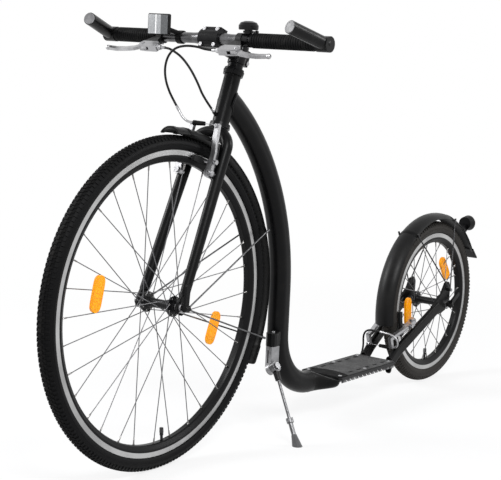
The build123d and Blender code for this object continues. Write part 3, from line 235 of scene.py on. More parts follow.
def far_from(tree, centre):
    """Distance from a point."""
    return vectors(tree, "DISTANCE", place_on(tree), leaned(centre), "Value")


def along(tree, centre, direction):
    """Signed distance from a point along a direction of the scooter."""
    step = vectors(tree, "SUBTRACT", place_on(tree), leaned(centre))
    tilted = np.asarray(direction, float) @ np.array([ahead, left, up])
    return vectors(tree, "DOT_PRODUCT", step, tilted, "Value")


def off_axis(tree, centre):
    """Distance from a line that runs through a point from side to side."""
    step = vectors(tree, "SUBTRACT", place_on(tree), leaned(centre))
    return vectors(tree, "LENGTH", vectors(tree, "CROSS_PRODUCT", step, left), result="Value")


def grain(tree, scale, detail=3.0, rough=0.6, stretch=(1, 1, 1)):
    """Fractal noise over the Object coordinates, squeezed along the row's axes."""
    noise = tree.nodes.new("ShaderNodeTexNoise")
    noise.inputs["Scale"].default_value = scale
    noise.inputs["Detail"].default_value = detail
    noise.inputs["Roughness"].default_value = rough
    tree.links.new(vectors(tree, "MULTIPLY", place_on(tree), stretch), noise.inputs["Vector"])
    return noise.outputs["Fac"]


def tinted(tree, amount, first, second):
    """First colour blending into the second by an amount; each is a socket or three numbers."""
    node = tree.nodes.new("ShaderNodeMix")
    node.data_type = "RGBA"
    tree.links.new(amount, node.inputs["Factor"])
    for socket, colour in ((node.inputs[6], first), (node.inputs[7], second)):
        if hasattr(colour, "node"):
            tree.links.new(colour, socket)
        else:
            socket.default_value = (*colour, 1)
    return node.outputs[2]


def relief(tree, shader, height, depth, strength=1.0):
    """Bump of a depth in metres on the shader's normal; several calls stack up."""
    node = tree.nodes.new("ShaderNodeBump")
    node.inputs["Distance"].default_value = depth
    node.inputs["Strength"].default_value = strength
    tree.links.new(height, node.inputs["Height"])
    if shader.inputs["Normal"].is_linked:
        tree.links.new(shader.inputs["Normal"].links[0].from_socket, node.inputs["Normal"])
    tree.links.new(node.outputs[0], shader.inputs["Normal"])


def dress(material, *names):
    """Puts a material into every slot of the named CAD nodes."""
    for name in names:
        for slot in nodes[name].material_slots:
            slot.material = material


def rim_finish(name, axle, track_start):
    """Black anodised wall inside a radius, bright turned track outside it, with rings 0.7 mm apart."""
    material, tree, shader = finish(name, (0.02, 0.02, 0.02), 0.34, specular=0.12)
    reach = far_from(tree, axle)
    bright = spread(tree, reach, 0, 1, track_start - 0.0003, track_start + 0.0003)
    smear = spread(tree, grain(tree, 9), 0, 1)
    worn = tinted(tree, smear, (0.50, 0.50, 0.50), (0.36, 0.36, 0.36))
    rings = maths(tree, "SINE", maths(tree, "MULTIPLY", reach, 2 * math.pi / 0.0007))
    tree.links.new(tinted(tree, bright, (0.0035, 0.0035, 0.0038), worn), shader.inputs["Base Color"])
    tree.links.new(bright, shader.inputs["Metallic"])
    tree.links.new(maths(tree, "MULTIPLY_ADD", smear, 0.10, 0.28), shader.inputs["Roughness"])
    relief(tree, shader, maths(tree, "MULTIPLY", rings, bright), 0.00003, 0.6)
    return material


dress(rim_finish("front_rim_anodised", front_axle, 0.3068), "front_rim")
dress(rim_finish("rear_rim_anodised", rear_axle, 0.1733), "rear_rim")

# ---------------------------------------------------------------------------------------------------------
# Spokes: drawn stainless wire. Each has a plated nipple at the rim and a flattened head at the hub flange,
# laced in crossed pairs, 32 in front and 28 behind.
# ---------------------------------------------------------------------------------------------------------


def piece(name, points, faces, material, body, smooth_below=38):
    """Mesh object from points and faces, smooth but for edges sharper than an angle, riding on a body."""
    mesh = bpy.data.meshes.new(name)
    mesh.from_pydata(np.asarray(points, float).reshape(-1, 3), [], faces)
    mesh.polygons.foreach_set("use_smooth", np.ones(len(mesh.polygons), bool))
    mesh.set_sharp_from_angle(angle=math.radians(smooth_below))
    mesh.materials.append(material)
    item = bpy.data.objects.new(name, mesh)
    scene.collection.objects.link(item)
    if body:
        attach(item, body)
    return item


def wrap(rows, columns, closed_rows=False, closed_columns=False, first=0):
    """Quads of a grid of points numbered row by row, closing on itself where asked."""
    row = np.arange(rows if closed_rows else rows - 1)[:, None]
    column = np.arange(columns if closed_columns else columns - 1)[None, :]
    row_on, column_on = (row + 1) % rows, (column + 1) % columns
    corners = (row * columns + column, row * columns + column_on, row_on * columns + column_on,
               row_on * columns + column)
    return np.stack([np.broadcast_to(c, (row.size, column.size)) for c in corners], -1).reshape(-1,
                                                                                                4) + first


def outward(mesh):
    """Turns every face of closed shells to the outside."""
    work = bmesh.new()
    work.from_mesh(mesh)
    bmesh.ops.recalc_face_normals(work, faces=work.faces)
    work.to_mesh(mesh)
    work.free()


def shells(name, rings, material, body, smooth_below=38):
    """One mesh of closed shells, each a run of rings of points with a flat face across either end."""
    rings = np.asarray(rings, float)
    count, rows, columns = rings.shape[:3]
    faces = []
    for first in range(0, count * rows * columns, rows * columns):
        faces += wrap(rows, columns, closed_columns=True, first=first).tolist()
        faces.append(list(range(first, first + columns)))
        faces.append(list(range(first + (rows - 1) * columns, first + rows * columns)))
    item = piece(name, rings, faces, material, body, smooth_below)
    outward(item.data)
    return item


def turned_pins(name, starts, directions, profile, sides, material, body, flutes=0.0):
    """Many like turned pieces at once: each starts at a point and runs along a direction of the scooter.

    The profile gives pairs of distance and radius. A point is start + distance * direction + radius *
    (cos t * first normal + sin t * second normal), and flutes draw every other radius in by that share.
    """
    starts = leaned(np.atleast_2d(starts))
    directions = np.broadcast_to(np.atleast_2d(directions) @ np.array([ahead, left, up]), starts.shape)
    directions = directions / np.linalg.norm(directions, axis=1, keepdims=True)
    helper = np.where(np.abs(directions[:, :1]) < 0.8, [[1.0, 0, 0]], [[0, 0, 1.0]])
    first = np.cross(directions, helper)
    first /= np.linalg.norm(first, axis=1, keepdims=True)
    second = np.cross(directions, first)
    turn = np.linspace(0, 2 * math.pi, sides, endpoint=False)
    share = 1 - flutes * (np.arange(sides) % 2)
    circle = (np.cos(turn) * share)[:, None] * first[:, None, :] + (np.sin(turn) * share)[:,
        None] * second[:, None, :]
    distance, radius = np.array(profile, float).T
    rings = (starts[:, None, None, :] + distance[None, :, None, None] * directions[:, None, None, :]
             + radius[None, :, None, None] * circle[:, None, :, :])
    return shells(name, rings, material, body)


def round_wheel(axle, turn, reach, side):
    """Points at angles and radii from an axle, and at a distance to the left."""
    turn, reach, side = np.broadcast_arrays(turn, reach, side)
    return axle + np.stack([reach * np.cos(turn), side, reach * np.sin(turn)], -1)


spoke_wire, tree, shader = finish("spoke_wire", (0.15, 0.15, 0.155), 0.4, metallic=1.0)
tree.links.new(spread(tree, grain(tree, 120), 0.34, 0.5), shader.inputs["Roughness"])
nipple_plate, tree, shader = finish("nipple_plate", (0.45, 0.44, 0.43), 0.26, metallic=1.0)
tree.links.new(tinted(tree, spread(tree, grain(tree, 300), 0, 1), (0.30, 0.295, 0.29), (0.20, 0.195, 0.19)),
               shader.inputs["Base Color"])
dress(spoke_wire, "front_spokes", "rear_spokes")

flange_place, spoke_circle, rim_depth = 0.035, 0.0175, 0.019


def lace(wheel, axle, bead, count, cross, valve_turn):
    """Nipples and heads for a wheel's spokes, at the ends that the CAD spokes have."""
    number = np.arange(count)
    side = np.where(number % 2 == 0, 1, -1)
    turn = np.where((number // 2) % 2 == 0, 1, -1)
    rim_turn = np.radians(valve_turn + (number + 0.5) * 360 / count)
    hub_turn = rim_turn + turn * math.radians(cross)
    hub_ends = round_wheel(axle, hub_turn, spoke_circle, side * (flange_place + 0.0024 * turn))
    rim_ends = round_wheel(axle, rim_turn, bead - rim_depth + 0.0015, side * 0.0025)
    towards_hub = hub_ends - rim_ends
    nipple = [(0.0, 0.0024), (0.003, 0.0024), (0.0035, 0.0018), (0.0135, 0.0016), (0.0142, 0.0011)]
    turned_pins(wheel + "_nipples", rim_ends, towards_hub, nipple, 8, nipple_plate, wheel)
    outside = np.stack([0 * number, side * turn, 0 * number], -1)
    head = [(-0.0006, 0.0022), (0.0004, 0.0022), (0.0012, 0.0013)]
    turned_pins(wheel + "_spoke_heads", hub_ends, outside, head, 8, nipple_plate, wheel)


lace("front_wheel", front_axle, 0.311, 32, 64, -93.9)
lace("rear_wheel", rear_axle, 0.1775, 28, 50, -90)

# ---------------------------------------------------------------------------------------------------------
# Hubs and axles: the shells are anodised black over the rings that turning left, the axles are zinc
# plated steel, and the cam levers are forged and painted black.
# ---------------------------------------------------------------------------------------------------------


def hub_finish(name, axle):
    """Black anodised aluminium, worn to grey on the flange rims, with rings left by turning."""
    material, tree, shader = finish(name, (0.01, 0.01, 0.01), 0.35, specular=0.2)
    side = maths(tree, "ABSOLUTE", along(tree, axle, (0, 1, 0)))
    worn = spread(tree,
                  maths(tree, "ADD", off_axis(tree, axle), spread(tree, grain(tree, 200), -0.001, 0.001)),
                  0, 1,
                  0.0205, 0.0222)
    tree.links.new(tinted(tree, worn, (0.004, 0.004, 0.0045), (0.05, 0.05, 0.052)),
                   shader.inputs["Base Color"])
    tree.links.new(spread(tree, grain(tree, 160), 0.28, 0.46), shader.inputs["Roughness"])
    rings = maths(tree, "SINE", maths(tree, "MULTIPLY", side, 2 * math.pi / 0.0006))
    relief(tree, shader, rings, 0.00002, 0.5)
    return material


dress(hub_finish("front_hub_shell", front_axle), "front_hub")
dress(hub_finish("rear_hub_shell", rear_axle), "rear_hub")

zinc_plate, tree, shader = finish("zinc_plate", (0.42, 0.42, 0.43), 0.34, metallic=1.0)
tree.links.new(spread(tree, grain(tree, 420, 5), 0.22, 0.45), shader.inputs["Roughness"])
tree.links.new(tinted(tree, spread(tree, grain(tree, 120), 0, 1), (0.42, 0.42, 0.43), (0.33, 0.33, 0.34)),
               shader.inputs["Base Color"])
relief(tree, shader, grain(tree, 900), 0.00005, 0.4)
dress(zinc_plate, "front_axle", "rear_axle", "stem_bolts", "front_brake_studs", "rear_brake_studs",
      "fork_steerer", "headset_bearings")

black_forging, tree, shader = finish("black_forging", (0.003, 0.003, 0.0033), 0.36, specular=0.12)
tree.links.new(spread(tree, grain(tree, 90, 5), 0.26, 0.44), shader.inputs["Roughness"])
relief(tree, shader, grain(tree, 1400, 2), 0.00004, 0.5)
dress(black_forging, "front_quick_release", "rear_quick_release")

# ---------------------------------------------------------------------------------------------------------
# Tyres: vulcanised rubber with three kinds of block across the tread, cut by grooves 2 mm deep, a plain
# sidewall with one moulded ring, and the bead tucked between the rim walls.
# ---------------------------------------------------------------------------------------------------------

block_pitch, block_height, carcass = 0.0105, 0.0019, 0.0171
middle_rows = [(0, 12.5, 14, 17, 18.5, 31, 32.5, 36, 37.5, 47, 56, 60), (1, 1, 0, 0, 2, 2, 0, 0, 3, 3, 3, 4)]
side_rows = [(65, 72, 80, 86, 87.5, 90.5, 92, 100, 109, 117, 124),
             (0.2, 0.4, 0.5, 0.5, 1.1, 1.1, 0.5, 0.5, 0.4, 0.2, 0.0)]


def tread_rubber(name, axle, outer_radius, clean, dusty):
    """Black rubber: matt and dusty on the blocks, a little smoother on the walls."""
    material, tree, shader = finish(name, clean, 0.7, specular=0.08)
    reach = far_from(tree, axle)
    block = spread(tree, reach, 0, 1, outer_radius - 0.004, outer_radius - 0.0005)
    dust = maths(tree, "MULTIPLY", block, spread(tree, grain(tree, 55, 6, 0.7), 0, 1, 0.42, 0.7))
    tree.links.new(tinted(tree, dust, clean, dusty), shader.inputs["Base Color"])
    tree.links.new(maths(tree, "MULTIPLY_ADD", block, 0.2, 0.52), shader.inputs["Roughness"])
    relief(tree, shader, grain(tree, 1700, 2), 0.00008, 0.5)
    return material


def tyre(name, body, axle, outer_radius, bead, clean, dusty):
    """Tyre skin on a grid of turns round the wheel by stations across it.

    Radius from the section's middle = carcass + block height times 1 on a block, and each point is the axle +
    (middle radius + section radius * cos across) outwards and section radius * sin across to the left.
    """
    middle = outer_radius - 0.019
    count = round(2 * math.pi * outer_radius / block_pitch)
    turn = ((np.arange(count)[:, None] + np.array([0, 0.05, 0.55, 0.60])[None,
                                                                         :]) / count * 2 * math.pi).ravel()
    centre_block = np.tile([0.0, 1, 1, 0], count)
    between_block = np.tile([1.0, 0, 0, 1], count)
    long_block = centre_block * np.repeat(np.arange(count) % 2, 4)
    kinds = np.stack([0 * turn, centre_block, between_block, centre_block, long_block], -1)
    across, row = np.array(middle_rows[0], float), np.array(middle_rows[1])
    tread = carcass + block_height * kinds[:, row]
    wall = np.broadcast_to(0.0171 + 0.001 * np.array(side_rows[1]), (turn.size, len(side_rows[1])))
    half = np.concatenate([tread, wall], 1)
    half_across = np.radians(np.concatenate([across, side_rows[0]]))
    section = np.concatenate([half[:, :0:-1], half], 1)
    angle = np.concatenate([-half_across[:0:-1], half_across])
    reach = middle + section * np.cos(angle)
    side = section * np.sin(angle)
    bead_reach = np.array([bead + 0.0064, bead + 0.003, bead + 0.003, bead + 0.0064])
    bead_side = np.array([0.0099, 0.0098, -0.0098, -0.0099])
    reach = np.concatenate([reach, np.broadcast_to(bead_reach, (turn.size, 4))], 1)
    side = np.concatenate([side, np.broadcast_to(bead_side, (turn.size, 4))], 1)
    points = leaned(round_wheel(axle, turn[:, None], reach, side))
    faces = wrap(turn.size, points.shape[1], True, True).tolist()
    item = piece(name, points, faces, tread_rubber(name + "_rubber", axle, outer_radius, clean, dusty),
                 body, 30)
    outward(item.data)
    return item


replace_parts(tyre("front_knobbly_tyre", "front_wheel", front_axle, 0.347, 0.311, (0.0035, 0.0035, 0.0038),
                 (0.013, 0.0122, 0.0115)), "front_tyre")
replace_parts(tyre("rear_knobbly_tyre", "rear_wheel", rear_axle, 0.215, 0.1775, (0.026, 0.024, 0.022),
                 (0.065, 0.058, 0.052)), "rear_tyre")

# ---------------------------------------------------------------------------------------------------------
# Inner tubes: only the valve shows, a rubber-coated brass stem that stands through the rim and wears a
# ribbed plastic cap.
# ---------------------------------------------------------------------------------------------------------

tube_rubber, tree, shader = finish("tube_rubber", (0.010, 0.010, 0.011), 0.55, specular=0.2)
tree.links.new(spread(tree, grain(tree, 260), 0.45, 0.65), shader.inputs["Roughness"])
dress(tube_rubber, "front_inner_tube", "rear_inner_tube")
cap_plastic, tree, shader = finish("cap_plastic", (0.015, 0.015, 0.016), 0.4)
relief(tree, shader, grain(tree, 1200), 0.00004, 0.5)

for wheel, axle, bead, turn in (("front", front_axle, 0.311, -93.9), ("rear", rear_axle, 0.1775, -90.0)):
    out = round_wheel(np.zeros(3), math.radians(turn), 1.0, 0.0)
    cap = [(-0.0004, 0.003), (0.0002, 0.0042), (0.009, 0.0045), (0.0105, 0.0043), (0.0106, 0.0038)]
    turned_pins(wheel + "_valve_cap", axle + out * (bead - 0.046), out, cap, 20, cap_plastic,
                wheel + "_wheel", flutes=0.07)

# ---------------------------------------------------------------------------------------------------------
# Wheel reflectors: amber acrylic oblongs with round ends and a raised rim, clipped across the spokes and
# moulded with a field of small prisms.
# ---------------------------------------------------------------------------------------------------------
amber_acrylic, tree, shader = finish("amber_acrylic", (1.0, 0.36, 0.0), 0.3, specular=0.2, coat=0.15,
                                     coat_roughness=0.1)
prisms = tree.nodes.new("ShaderNodeTexVoronoi")
prisms.inputs["Scale"].default_value = 340
tree.links.new(place_on(tree), prisms.inputs["Vector"])
prism_depth = spread(tree, prisms.outputs["Distance"], 0, 1, 0.15, 0.75)
tree.links.new(tinted(tree, prism_depth, (0.95, 0.46, 0.0), (0.88, 0.25, 0.0)), shader.inputs["Base Color"])
relief(tree, shader, prism_depth, 0.0003, 0.5)
oblong_half, oblong_round = 0.023, 0.014


def oblong_reflector(axle, reach, turn, side):
    """Rings of an oblong, (half * tanh(6 cos t) + round * cos t, round * sin t) by a share, at a height."""
    share = np.array([0.3, 0.6, 0.84, 0.87, 0.95, 1.0])
    height = np.array([0.0031, 0.0031, 0.0029, 0.0035, 0.0035, 0.0027])
    share, height = np.concatenate([share, share[::-1]]), np.concatenate([height, -height[::-1]])
    t = np.linspace(0, 2 * math.pi, 96, endpoint=False)
    along_rim = share[:, None] * (oblong_half * np.tanh(6 * np.cos(t)) + oblong_round * np.cos(t))
    outwards = share[:, None] * (oblong_round * np.sin(t))
    turn = math.radians(turn)
    out, around = np.array([math.cos(turn), 0, math.sin(turn)]), np.array([-math.sin(turn), 0,
                                                                           math.cos(turn)])
    middle = axle + out * reach + np.array([0, side * 0.013, 0])
    return leaned(middle + along_rim[..., None] * around + outwards[..., None] * out
                  + height[:, None, None] * np.array([0, 1, 0]))


for wheel, axle, reach, turns in (("front", front_axle, 0.211, (13, 202)),
                                  ("rear", rear_axle, 0.128, (-5, 144))):
    pair = [oblong_reflector(axle, reach, turn, side) for turn, side in zip(turns, (1, -1))]
    oblongs = shells(wheel + "_amber_reflectors", pair, amber_acrylic, wheel + "_wheel")
    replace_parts(oblongs, wheel + "_wheel_reflectors")

# ---------------------------------------------------------------------------------------------------------
# Frame and fork: welded steel tube with a satin black powder coat, which leaves a faint orange peel and
# runs over the ripples of the weld beads.
# ---------------------------------------------------------------------------------------------------------
powder_coat, tree, shader = finish("powder_coat", (0.003, 0.003, 0.0033), 0.34, specular=0.12)
tree.links.new(spread(tree, grain(tree, 12, 6), 0.28, 0.42), shader.inputs["Roughness"])
tree.links.new(tinted(tree, spread(tree, grain(tree, 26, 6), 0, 1, 0.5, 0.75), (0.0022, 0.0022, 0.0025),
                      (0.0055, 0.0052, 0.0050)), shader.inputs["Base Color"])
relief(tree, shader, grain(tree, 650, 2), 0.00006, 0.35)
dress(powder_coat, "head_tube", "main_tube", "rear_stays", "rear_dropouts", "fork_crown", "fork_blades",
      "fork_dropouts", "kickstand_lug")

head_slope = math.radians(70)
steerer_up = np.array([-math.cos(head_slope), 0, math.sin(head_slope)])
steerer_ahead = np.array([math.sin(head_slope), 0, math.cos(head_slope)])


def on_fork(forward, side, lift):
    """Place forward of the steerer's foot, to the left of it, and up along the steerer."""
    return front_axle + steerer_ahead * (forward - 0.040) + steerer_up * lift + np.array([0, side, 0])


def carried(path, radius, sides, helper, closed=False):
    """Rings square to a path: path + radius * (cos t * first + sin t * second), first = tangent x helper."""
    tangent = np.roll(path, -1, 0) - np.roll(path, 1, 0) if closed else np.gradient(path, axis=0)
    tangent /= np.linalg.norm(tangent, axis=1, keepdims=True)
    first = np.cross(tangent, helper)
    first /= np.linalg.norm(first, axis=1, keepdims=True)
    second = np.cross(tangent, first)
    t = np.linspace(0, 2 * math.pi, sides, endpoint=False)
    radius = np.broadcast_to(radius, len(path))[:, None, None]
    return path[:,
                None] + radius * (np.cos(t)[:, None] * first[:, None] + np.sin(t)[:, None] * second[:, None])


def weld(name, path, radius, helper):
    """Bead on a closed path: its radius swells by a tenth every 2.6 mm, as the puddles did."""
    path = leaned(path)
    travelled = np.cumsum(np.linalg.norm(path - np.roll(path, 1, 0), axis=1))
    swell = 1 + 0.1 * np.abs(np.sin(math.pi * travelled / 0.0026))
    rings = carried(path, radius * swell, 10, helper, closed=True)
    item = piece(name, rings, wrap(len(path), 10, True, True).tolist(), powder_coat, "frame",
                 60)
    outward(item.data)


bead_turn = np.linspace(0, 2 * math.pi, 420, endpoint=False)
tube_joint = np.array([-0.193891, 0, 0.762759])
sweep_centre, sweep_radius, head_radius = np.array([0.099, 0, 0.32946]), 0.523, 0.018
joint_out = (tube_joint - sweep_centre) / sweep_radius
joint_down = np.array([-joint_out[2], 0, joint_out[0]])
bead_side = 0.0205 * np.cos(bead_turn)
bead_lift = 0.0202 * np.sin(bead_turn) + 0.0045 * np.tanh(4 * np.sin(bead_turn))
to_head = -np.sqrt(np.maximum(head_radius**2 - bead_side**2, 0)) - bead_lift * (joint_out @ steerer_ahead)
bead_down = np.maximum(to_head / (joint_down @ steerer_ahead), 0.0005)
weld("head_tube_weld", tube_joint + bead_side[:, None] * [0, 1, 0] + bead_down[:, None] * joint_down
     + (bead_lift - bead_down**2 / 2 / sweep_radius)[:, None] * joint_out, 0.0026, np.array([0.3, 1.0, 0.1]))

deck_back, deck_front, deck_top = -0.868, -0.612, 0.099
for hand, side in (("left", 1), ("right", -1)):
    stay_side = 0.038 * side + 0.001 * np.tanh(4 * np.cos(bead_turn)) + 0.0062 * np.cos(bead_turn)
    stay_lift = 0.0857 + 0.0117 * np.tanh(4 * np.sin(bead_turn)) + 0.008 * np.sin(bead_turn)
    weld(hand + "_stay_weld", np.stack([0 * bead_turn + deck_back, stay_side, stay_lift], -1), 0.0019,
         np.array([1.0, 0.1, 0.1]))

# ---------------------------------------------------------------------------------------------------------
# Headset, stem and handlebar: aluminium, ground and anodised black, so the bare middle of the bar and the
# edges of the stem throw bright streaks.
# ---------------------------------------------------------------------------------------------------------
black_anodised, tree, shader = finish("black_anodised", (0.004, 0.004, 0.0045), 0.3, specular=0.12)
tree.links.new(spread(tree, grain(tree, 240, 3, 0.6, (1, 0.06, 1)), 0.19, 0.34), shader.inputs["Roughness"])
tree.links.new(tinted(tree, spread(tree, grain(tree, 30, 5), 0, 1), (0.003, 0.003, 0.0035),
                      (0.009, 0.009, 0.0095)),
               shader.inputs["Base Color"])
relief(tree, shader, grain(tree, 900, 2, 0.6, (1, 0.05, 1)), 0.00002, 0.4)
dress(black_anodised, "headset_cups", "headset_spacers", "stem", "stem_faceplate")

polished_black, tree, shader = finish("polished_black", (0.14, 0.14, 0.145), 0.24, metallic=1.0)
tree.links.new(spread(tree, grain(tree, 320, 4, 0.6, (1, 0.05, 1)), 0.2, 0.36), shader.inputs["Roughness"])
tree.links.new(tinted(tree, spread(tree, grain(tree, 40, 5), 0, 1), (0.17, 0.17, 0.175),
                      (0.09, 0.09, 0.093)),
               shader.inputs["Base Color"])
relief(tree, shader, grain(tree, 900, 2, 0.6, (1, 0.05, 1)), 0.00002, 0.4)
dress(polished_black, "handlebar")

bar_place = np.array([-0.137369, 0, 0.888152])


def beside_bar(side, forward=0.0, lift=0.0):
    """Place near the handlebar: to the left, forward and up from its middle."""
    return bar_place + np.array([forward, side, lift])


# ---------------------------------------------------------------------------------------------------------
# Grips and bar ends: black rubber, ribbed on the grips and pebbled on the horns, whose tips are closed by
# pressed grey caps.
# ---------------------------------------------------------------------------------------------------------
grip_rubber, tree, shader = finish("grip_rubber", (0.004, 0.004, 0.0043), 0.55, specular=0.1)
tree.links.new(spread(tree, grain(tree, 45, 6), 0.48, 0.7), shader.inputs["Roughness"])
tree.links.new(tinted(tree, spread(tree, grain(tree, 60, 6), 0, 1, 0.5, 0.7), (0.003, 0.003, 0.0033),
                      (0.010, 0.0097, 0.0094)), shader.inputs["Base Color"])
pebbles = tree.nodes.new("ShaderNodeTexVoronoi")
pebbles.inputs["Scale"].default_value = 620
tree.links.new(place_on(tree), pebbles.inputs["Vector"])
relief(tree, shader, pebbles.outputs["Distance"], 0.0002, 0.6)
dress(grip_rubber, "left_grip", "right_grip")

horn_plastic, tree, shader = finish("horn_plastic", (0.004, 0.004, 0.0043), 0.3, specular=0.16)
tree.links.new(spread(tree, grain(tree, 30, 6), 0.24, 0.4), shader.inputs["Roughness"])
tree.links.new(tinted(tree, spread(tree, grain(tree, 50, 6), 0, 1, 0.5, 0.75), (0.003, 0.003, 0.0033),
                      (0.009, 0.0087, 0.0084)), shader.inputs["Base Color"])
relief(tree, shader, grain(tree, 1100, 2), 0.00006, 0.5)
dress(horn_plastic, "bar_ends")

cap_grey, tree, shader = finish("cap_grey", (0.2, 0.2, 0.205), 0.42, specular=0.3)
tree.links.new(tinted(tree, spread(tree, grain(tree, 90, 5), 0, 1), (0.15, 0.15, 0.155),
                      (0.26, 0.26, 0.265)),
               shader.inputs["Base Color"])
relief(tree, shader, grain(tree, 1500), 0.00003, 0.4)
horn_turn = math.radians(12.5)
horn_ways = [np.array([0.096 * math.cos(horn_turn), -side * 0.096 * math.sin(horn_turn),
                       0.030]) for side in (1, -1)]
horn_tips = [beside_bar(side * 0.280) + 0.998 * way for side, way in zip((1, -1), horn_ways)]
turned_pins("bar_end_caps", horn_tips, horn_ways,
            [(0, 0.0122), (0.0009, 0.0122), (0.0014, 0.0117), (0.0014, 0.0098), (0.0009, 0.0094),
             (0.0009, 0.003)],
            48, cap_grey, "steering")

# ---------------------------------------------------------------------------------------------------------
# Bell and front reflector: the bell is a glossy black moulding with a thumb striker, and the reflector is
# a clear ribbed lens, in three leaning fields, pressed into a black housing.
# ---------------------------------------------------------------------------------------------------------
gloss_black, tree, shader = finish("gloss_black", (0.003, 0.003, 0.0033), 0.22, specular=0.2)
tree.links.new(spread(tree, grain(tree, 70, 5), 0.14, 0.3), shader.inputs["Roughness"])
relief(tree, shader, grain(tree, 500, 2), 0.00003, 0.3)
dress(gloss_black, "bell", "bell_striker")

housing_black, tree, shader = finish("housing_black", (0.003, 0.003, 0.0033), 0.42, specular=0.1)
tree.links.new(spread(tree, grain(tree, 80, 5), 0.34, 0.52), shader.inputs["Roughness"])
relief(tree, shader, grain(tree, 1800, 2), 0.00006, 0.6)
dress(housing_black, "front_reflector", "rear_light")

lens_middle = beside_bar(-0.118, 0.036, 0.025)
clear_lens, tree, shader = finish("clear_lens", (0.40, 0.41, 0.42), 0.2, metallic=0.3, coat=0.3)
across = along(tree, lens_middle, (0, 1, 0))
# painted shade: the lens's field towards the scooter's left, past the fold 9 mm from the middle, is darkened
# as if it faced away from the light
painted_shade_facet = spread(tree, across, 0, 1, 0.0085, 0.0100)
# painted highlight: a near-white line on the fold 4.5 mm to the scooter's right of the lens's middle
painted_highlight_fold = spread(tree, maths(tree, "ABSOLUTE", maths(tree, "ADD", across, 0.0045)), 1, 0, 0.0010,
                      0.0018)
# painted light and shade: lighter and darker stripes 1.7 mm apart stand in for the lens's ribs catching the
# light
painted_rib_light = maths(tree, "MULTIPLY_ADD",
                maths(tree, "SINE", maths(tree, "MULTIPLY", across, 2 * math.pi / 0.0017)), 0.5, 0.5)
pane = tinted(tree, painted_rib_light, (0.30, 0.31, 0.32), (0.52, 0.53, 0.54))
pane = tinted(tree, painted_shade_facet, pane, (0.10, 0.105, 0.11))
tree.links.new(tinted(tree, painted_highlight_fold, pane, (0.9, 0.9, 0.9)), shader.inputs["Base Color"])
relief(tree, shader, grain(tree, 700, 2, 0.6, (1, 1, 0.2)), 0.00006, 0.5)
lens_side = np.linspace(-1, 1, 193)
lens_lift = np.linspace(-1, 1, 61)
field = np.interp(lens_side, [-1, -0.18, -0.16, 0.33, 0.35, 1], [0.0, 1.0, 0.4, 0.9, 1.0, 0.1])
rib = np.abs(((lens_lift + 1) * 9) % 1 - 0.5)
fine_rib = np.abs(((lens_side + 1) * 15.5) % 1 - 0.5)
lens_rise = 0.0010 + 0.0018 * field[:, None] + 0.0002 * rib[None, :] + 0.0006 * fine_rib[:, None]
edge = (np.abs(lens_side)[:, None] > 0.97) | (np.abs(lens_lift)[None, :] > 0.96)
lens_rise = np.where(edge, -0.0005, lens_rise)
lens_points = leaned(lens_middle + np.stack(np.broadcast_arrays(
    lens_rise, 0.0272 * lens_side[:, None], 0.0212 * lens_lift[None, :]), -1))
lens_ring = np.concatenate([lens_points[0, :], lens_points[1:, -1], lens_points[-1, -2::-1],
                            lens_points[-2:0:-1, 0]])
lens_faces = wrap(193, 61).tolist()
lens_back = leaned(lens_middle - [0.001, 0, 0])
ring_start = 193 * 61
ring_count = len(lens_ring)
lens_faces += [[ring_start + n, ring_start + (n + 1) % ring_count,
                ring_start + ring_count] for n in range(ring_count)]
lens = piece("front_reflector_lens", np.concatenate([lens_points.reshape(-1, 3), lens_ring, [lens_back]]),
             lens_faces,
             clear_lens, "steering", 25)
work = bmesh.new()
work.from_mesh(lens.data)
bmesh.ops.remove_doubles(work, verts=work.verts, dist=1e-6)
work.to_mesh(lens.data)
work.free()
outward(lens.data)

# ---------------------------------------------------------------------------------------------------------
# Brake levers and their brackets: polished aluminium blades on a steel pin, in cast brackets that are
# painted black round the bar and left bright in front, each with a knurled barrel for the cable.
# ---------------------------------------------------------------------------------------------------------
lever_droop = math.atan2(32, 57)
lever_ahead = np.array([math.cos(lever_droop), 0, -math.sin(lever_droop)])
lever_up = np.array([math.sin(lever_droop), 0, math.cos(lever_droop)])

polished_blade, tree, shader = finish("polished_blade", (0.46, 0.46, 0.47), 0.3, metallic=1.0)
streaks = grain(tree, 420, 4, 0.6, (1, 0.05, 1))
tree.links.new(spread(tree, streaks, 0.24, 0.44), shader.inputs["Roughness"])
tree.links.new(tinted(tree, spread(tree, grain(tree, 45, 5), 0, 1), (0.54, 0.54, 0.55), (0.36, 0.36, 0.37)),
               shader.inputs["Base Color"])
relief(tree, shader, streaks, 0.00003, 0.4)
dress(polished_blade, "left_brake_lever", "right_brake_lever")

cast_bracket, tree, shader = finish("cast_bracket", (0.4, 0.4, 0.4), 0.4, specular=0.25)
bare = spread(tree, along(tree, bar_place, lever_ahead), 0, 1, 0.0335, 0.0345)
tree.links.new(tinted(tree, bare, (0.007, 0.007, 0.0075), (0.42, 0.42, 0.43)), shader.inputs["Base Color"])
tree.links.new(bare, shader.inputs["Metallic"])
tree.links.new(spread(tree, grain(tree, 180, 5), 0.3, 0.5), shader.inputs["Roughness"])
relief(tree, shader, grain(tree, 1200, 3), 0.00007, 0.5)
dress(cast_bracket, "left_lever_mount", "right_lever_mount")

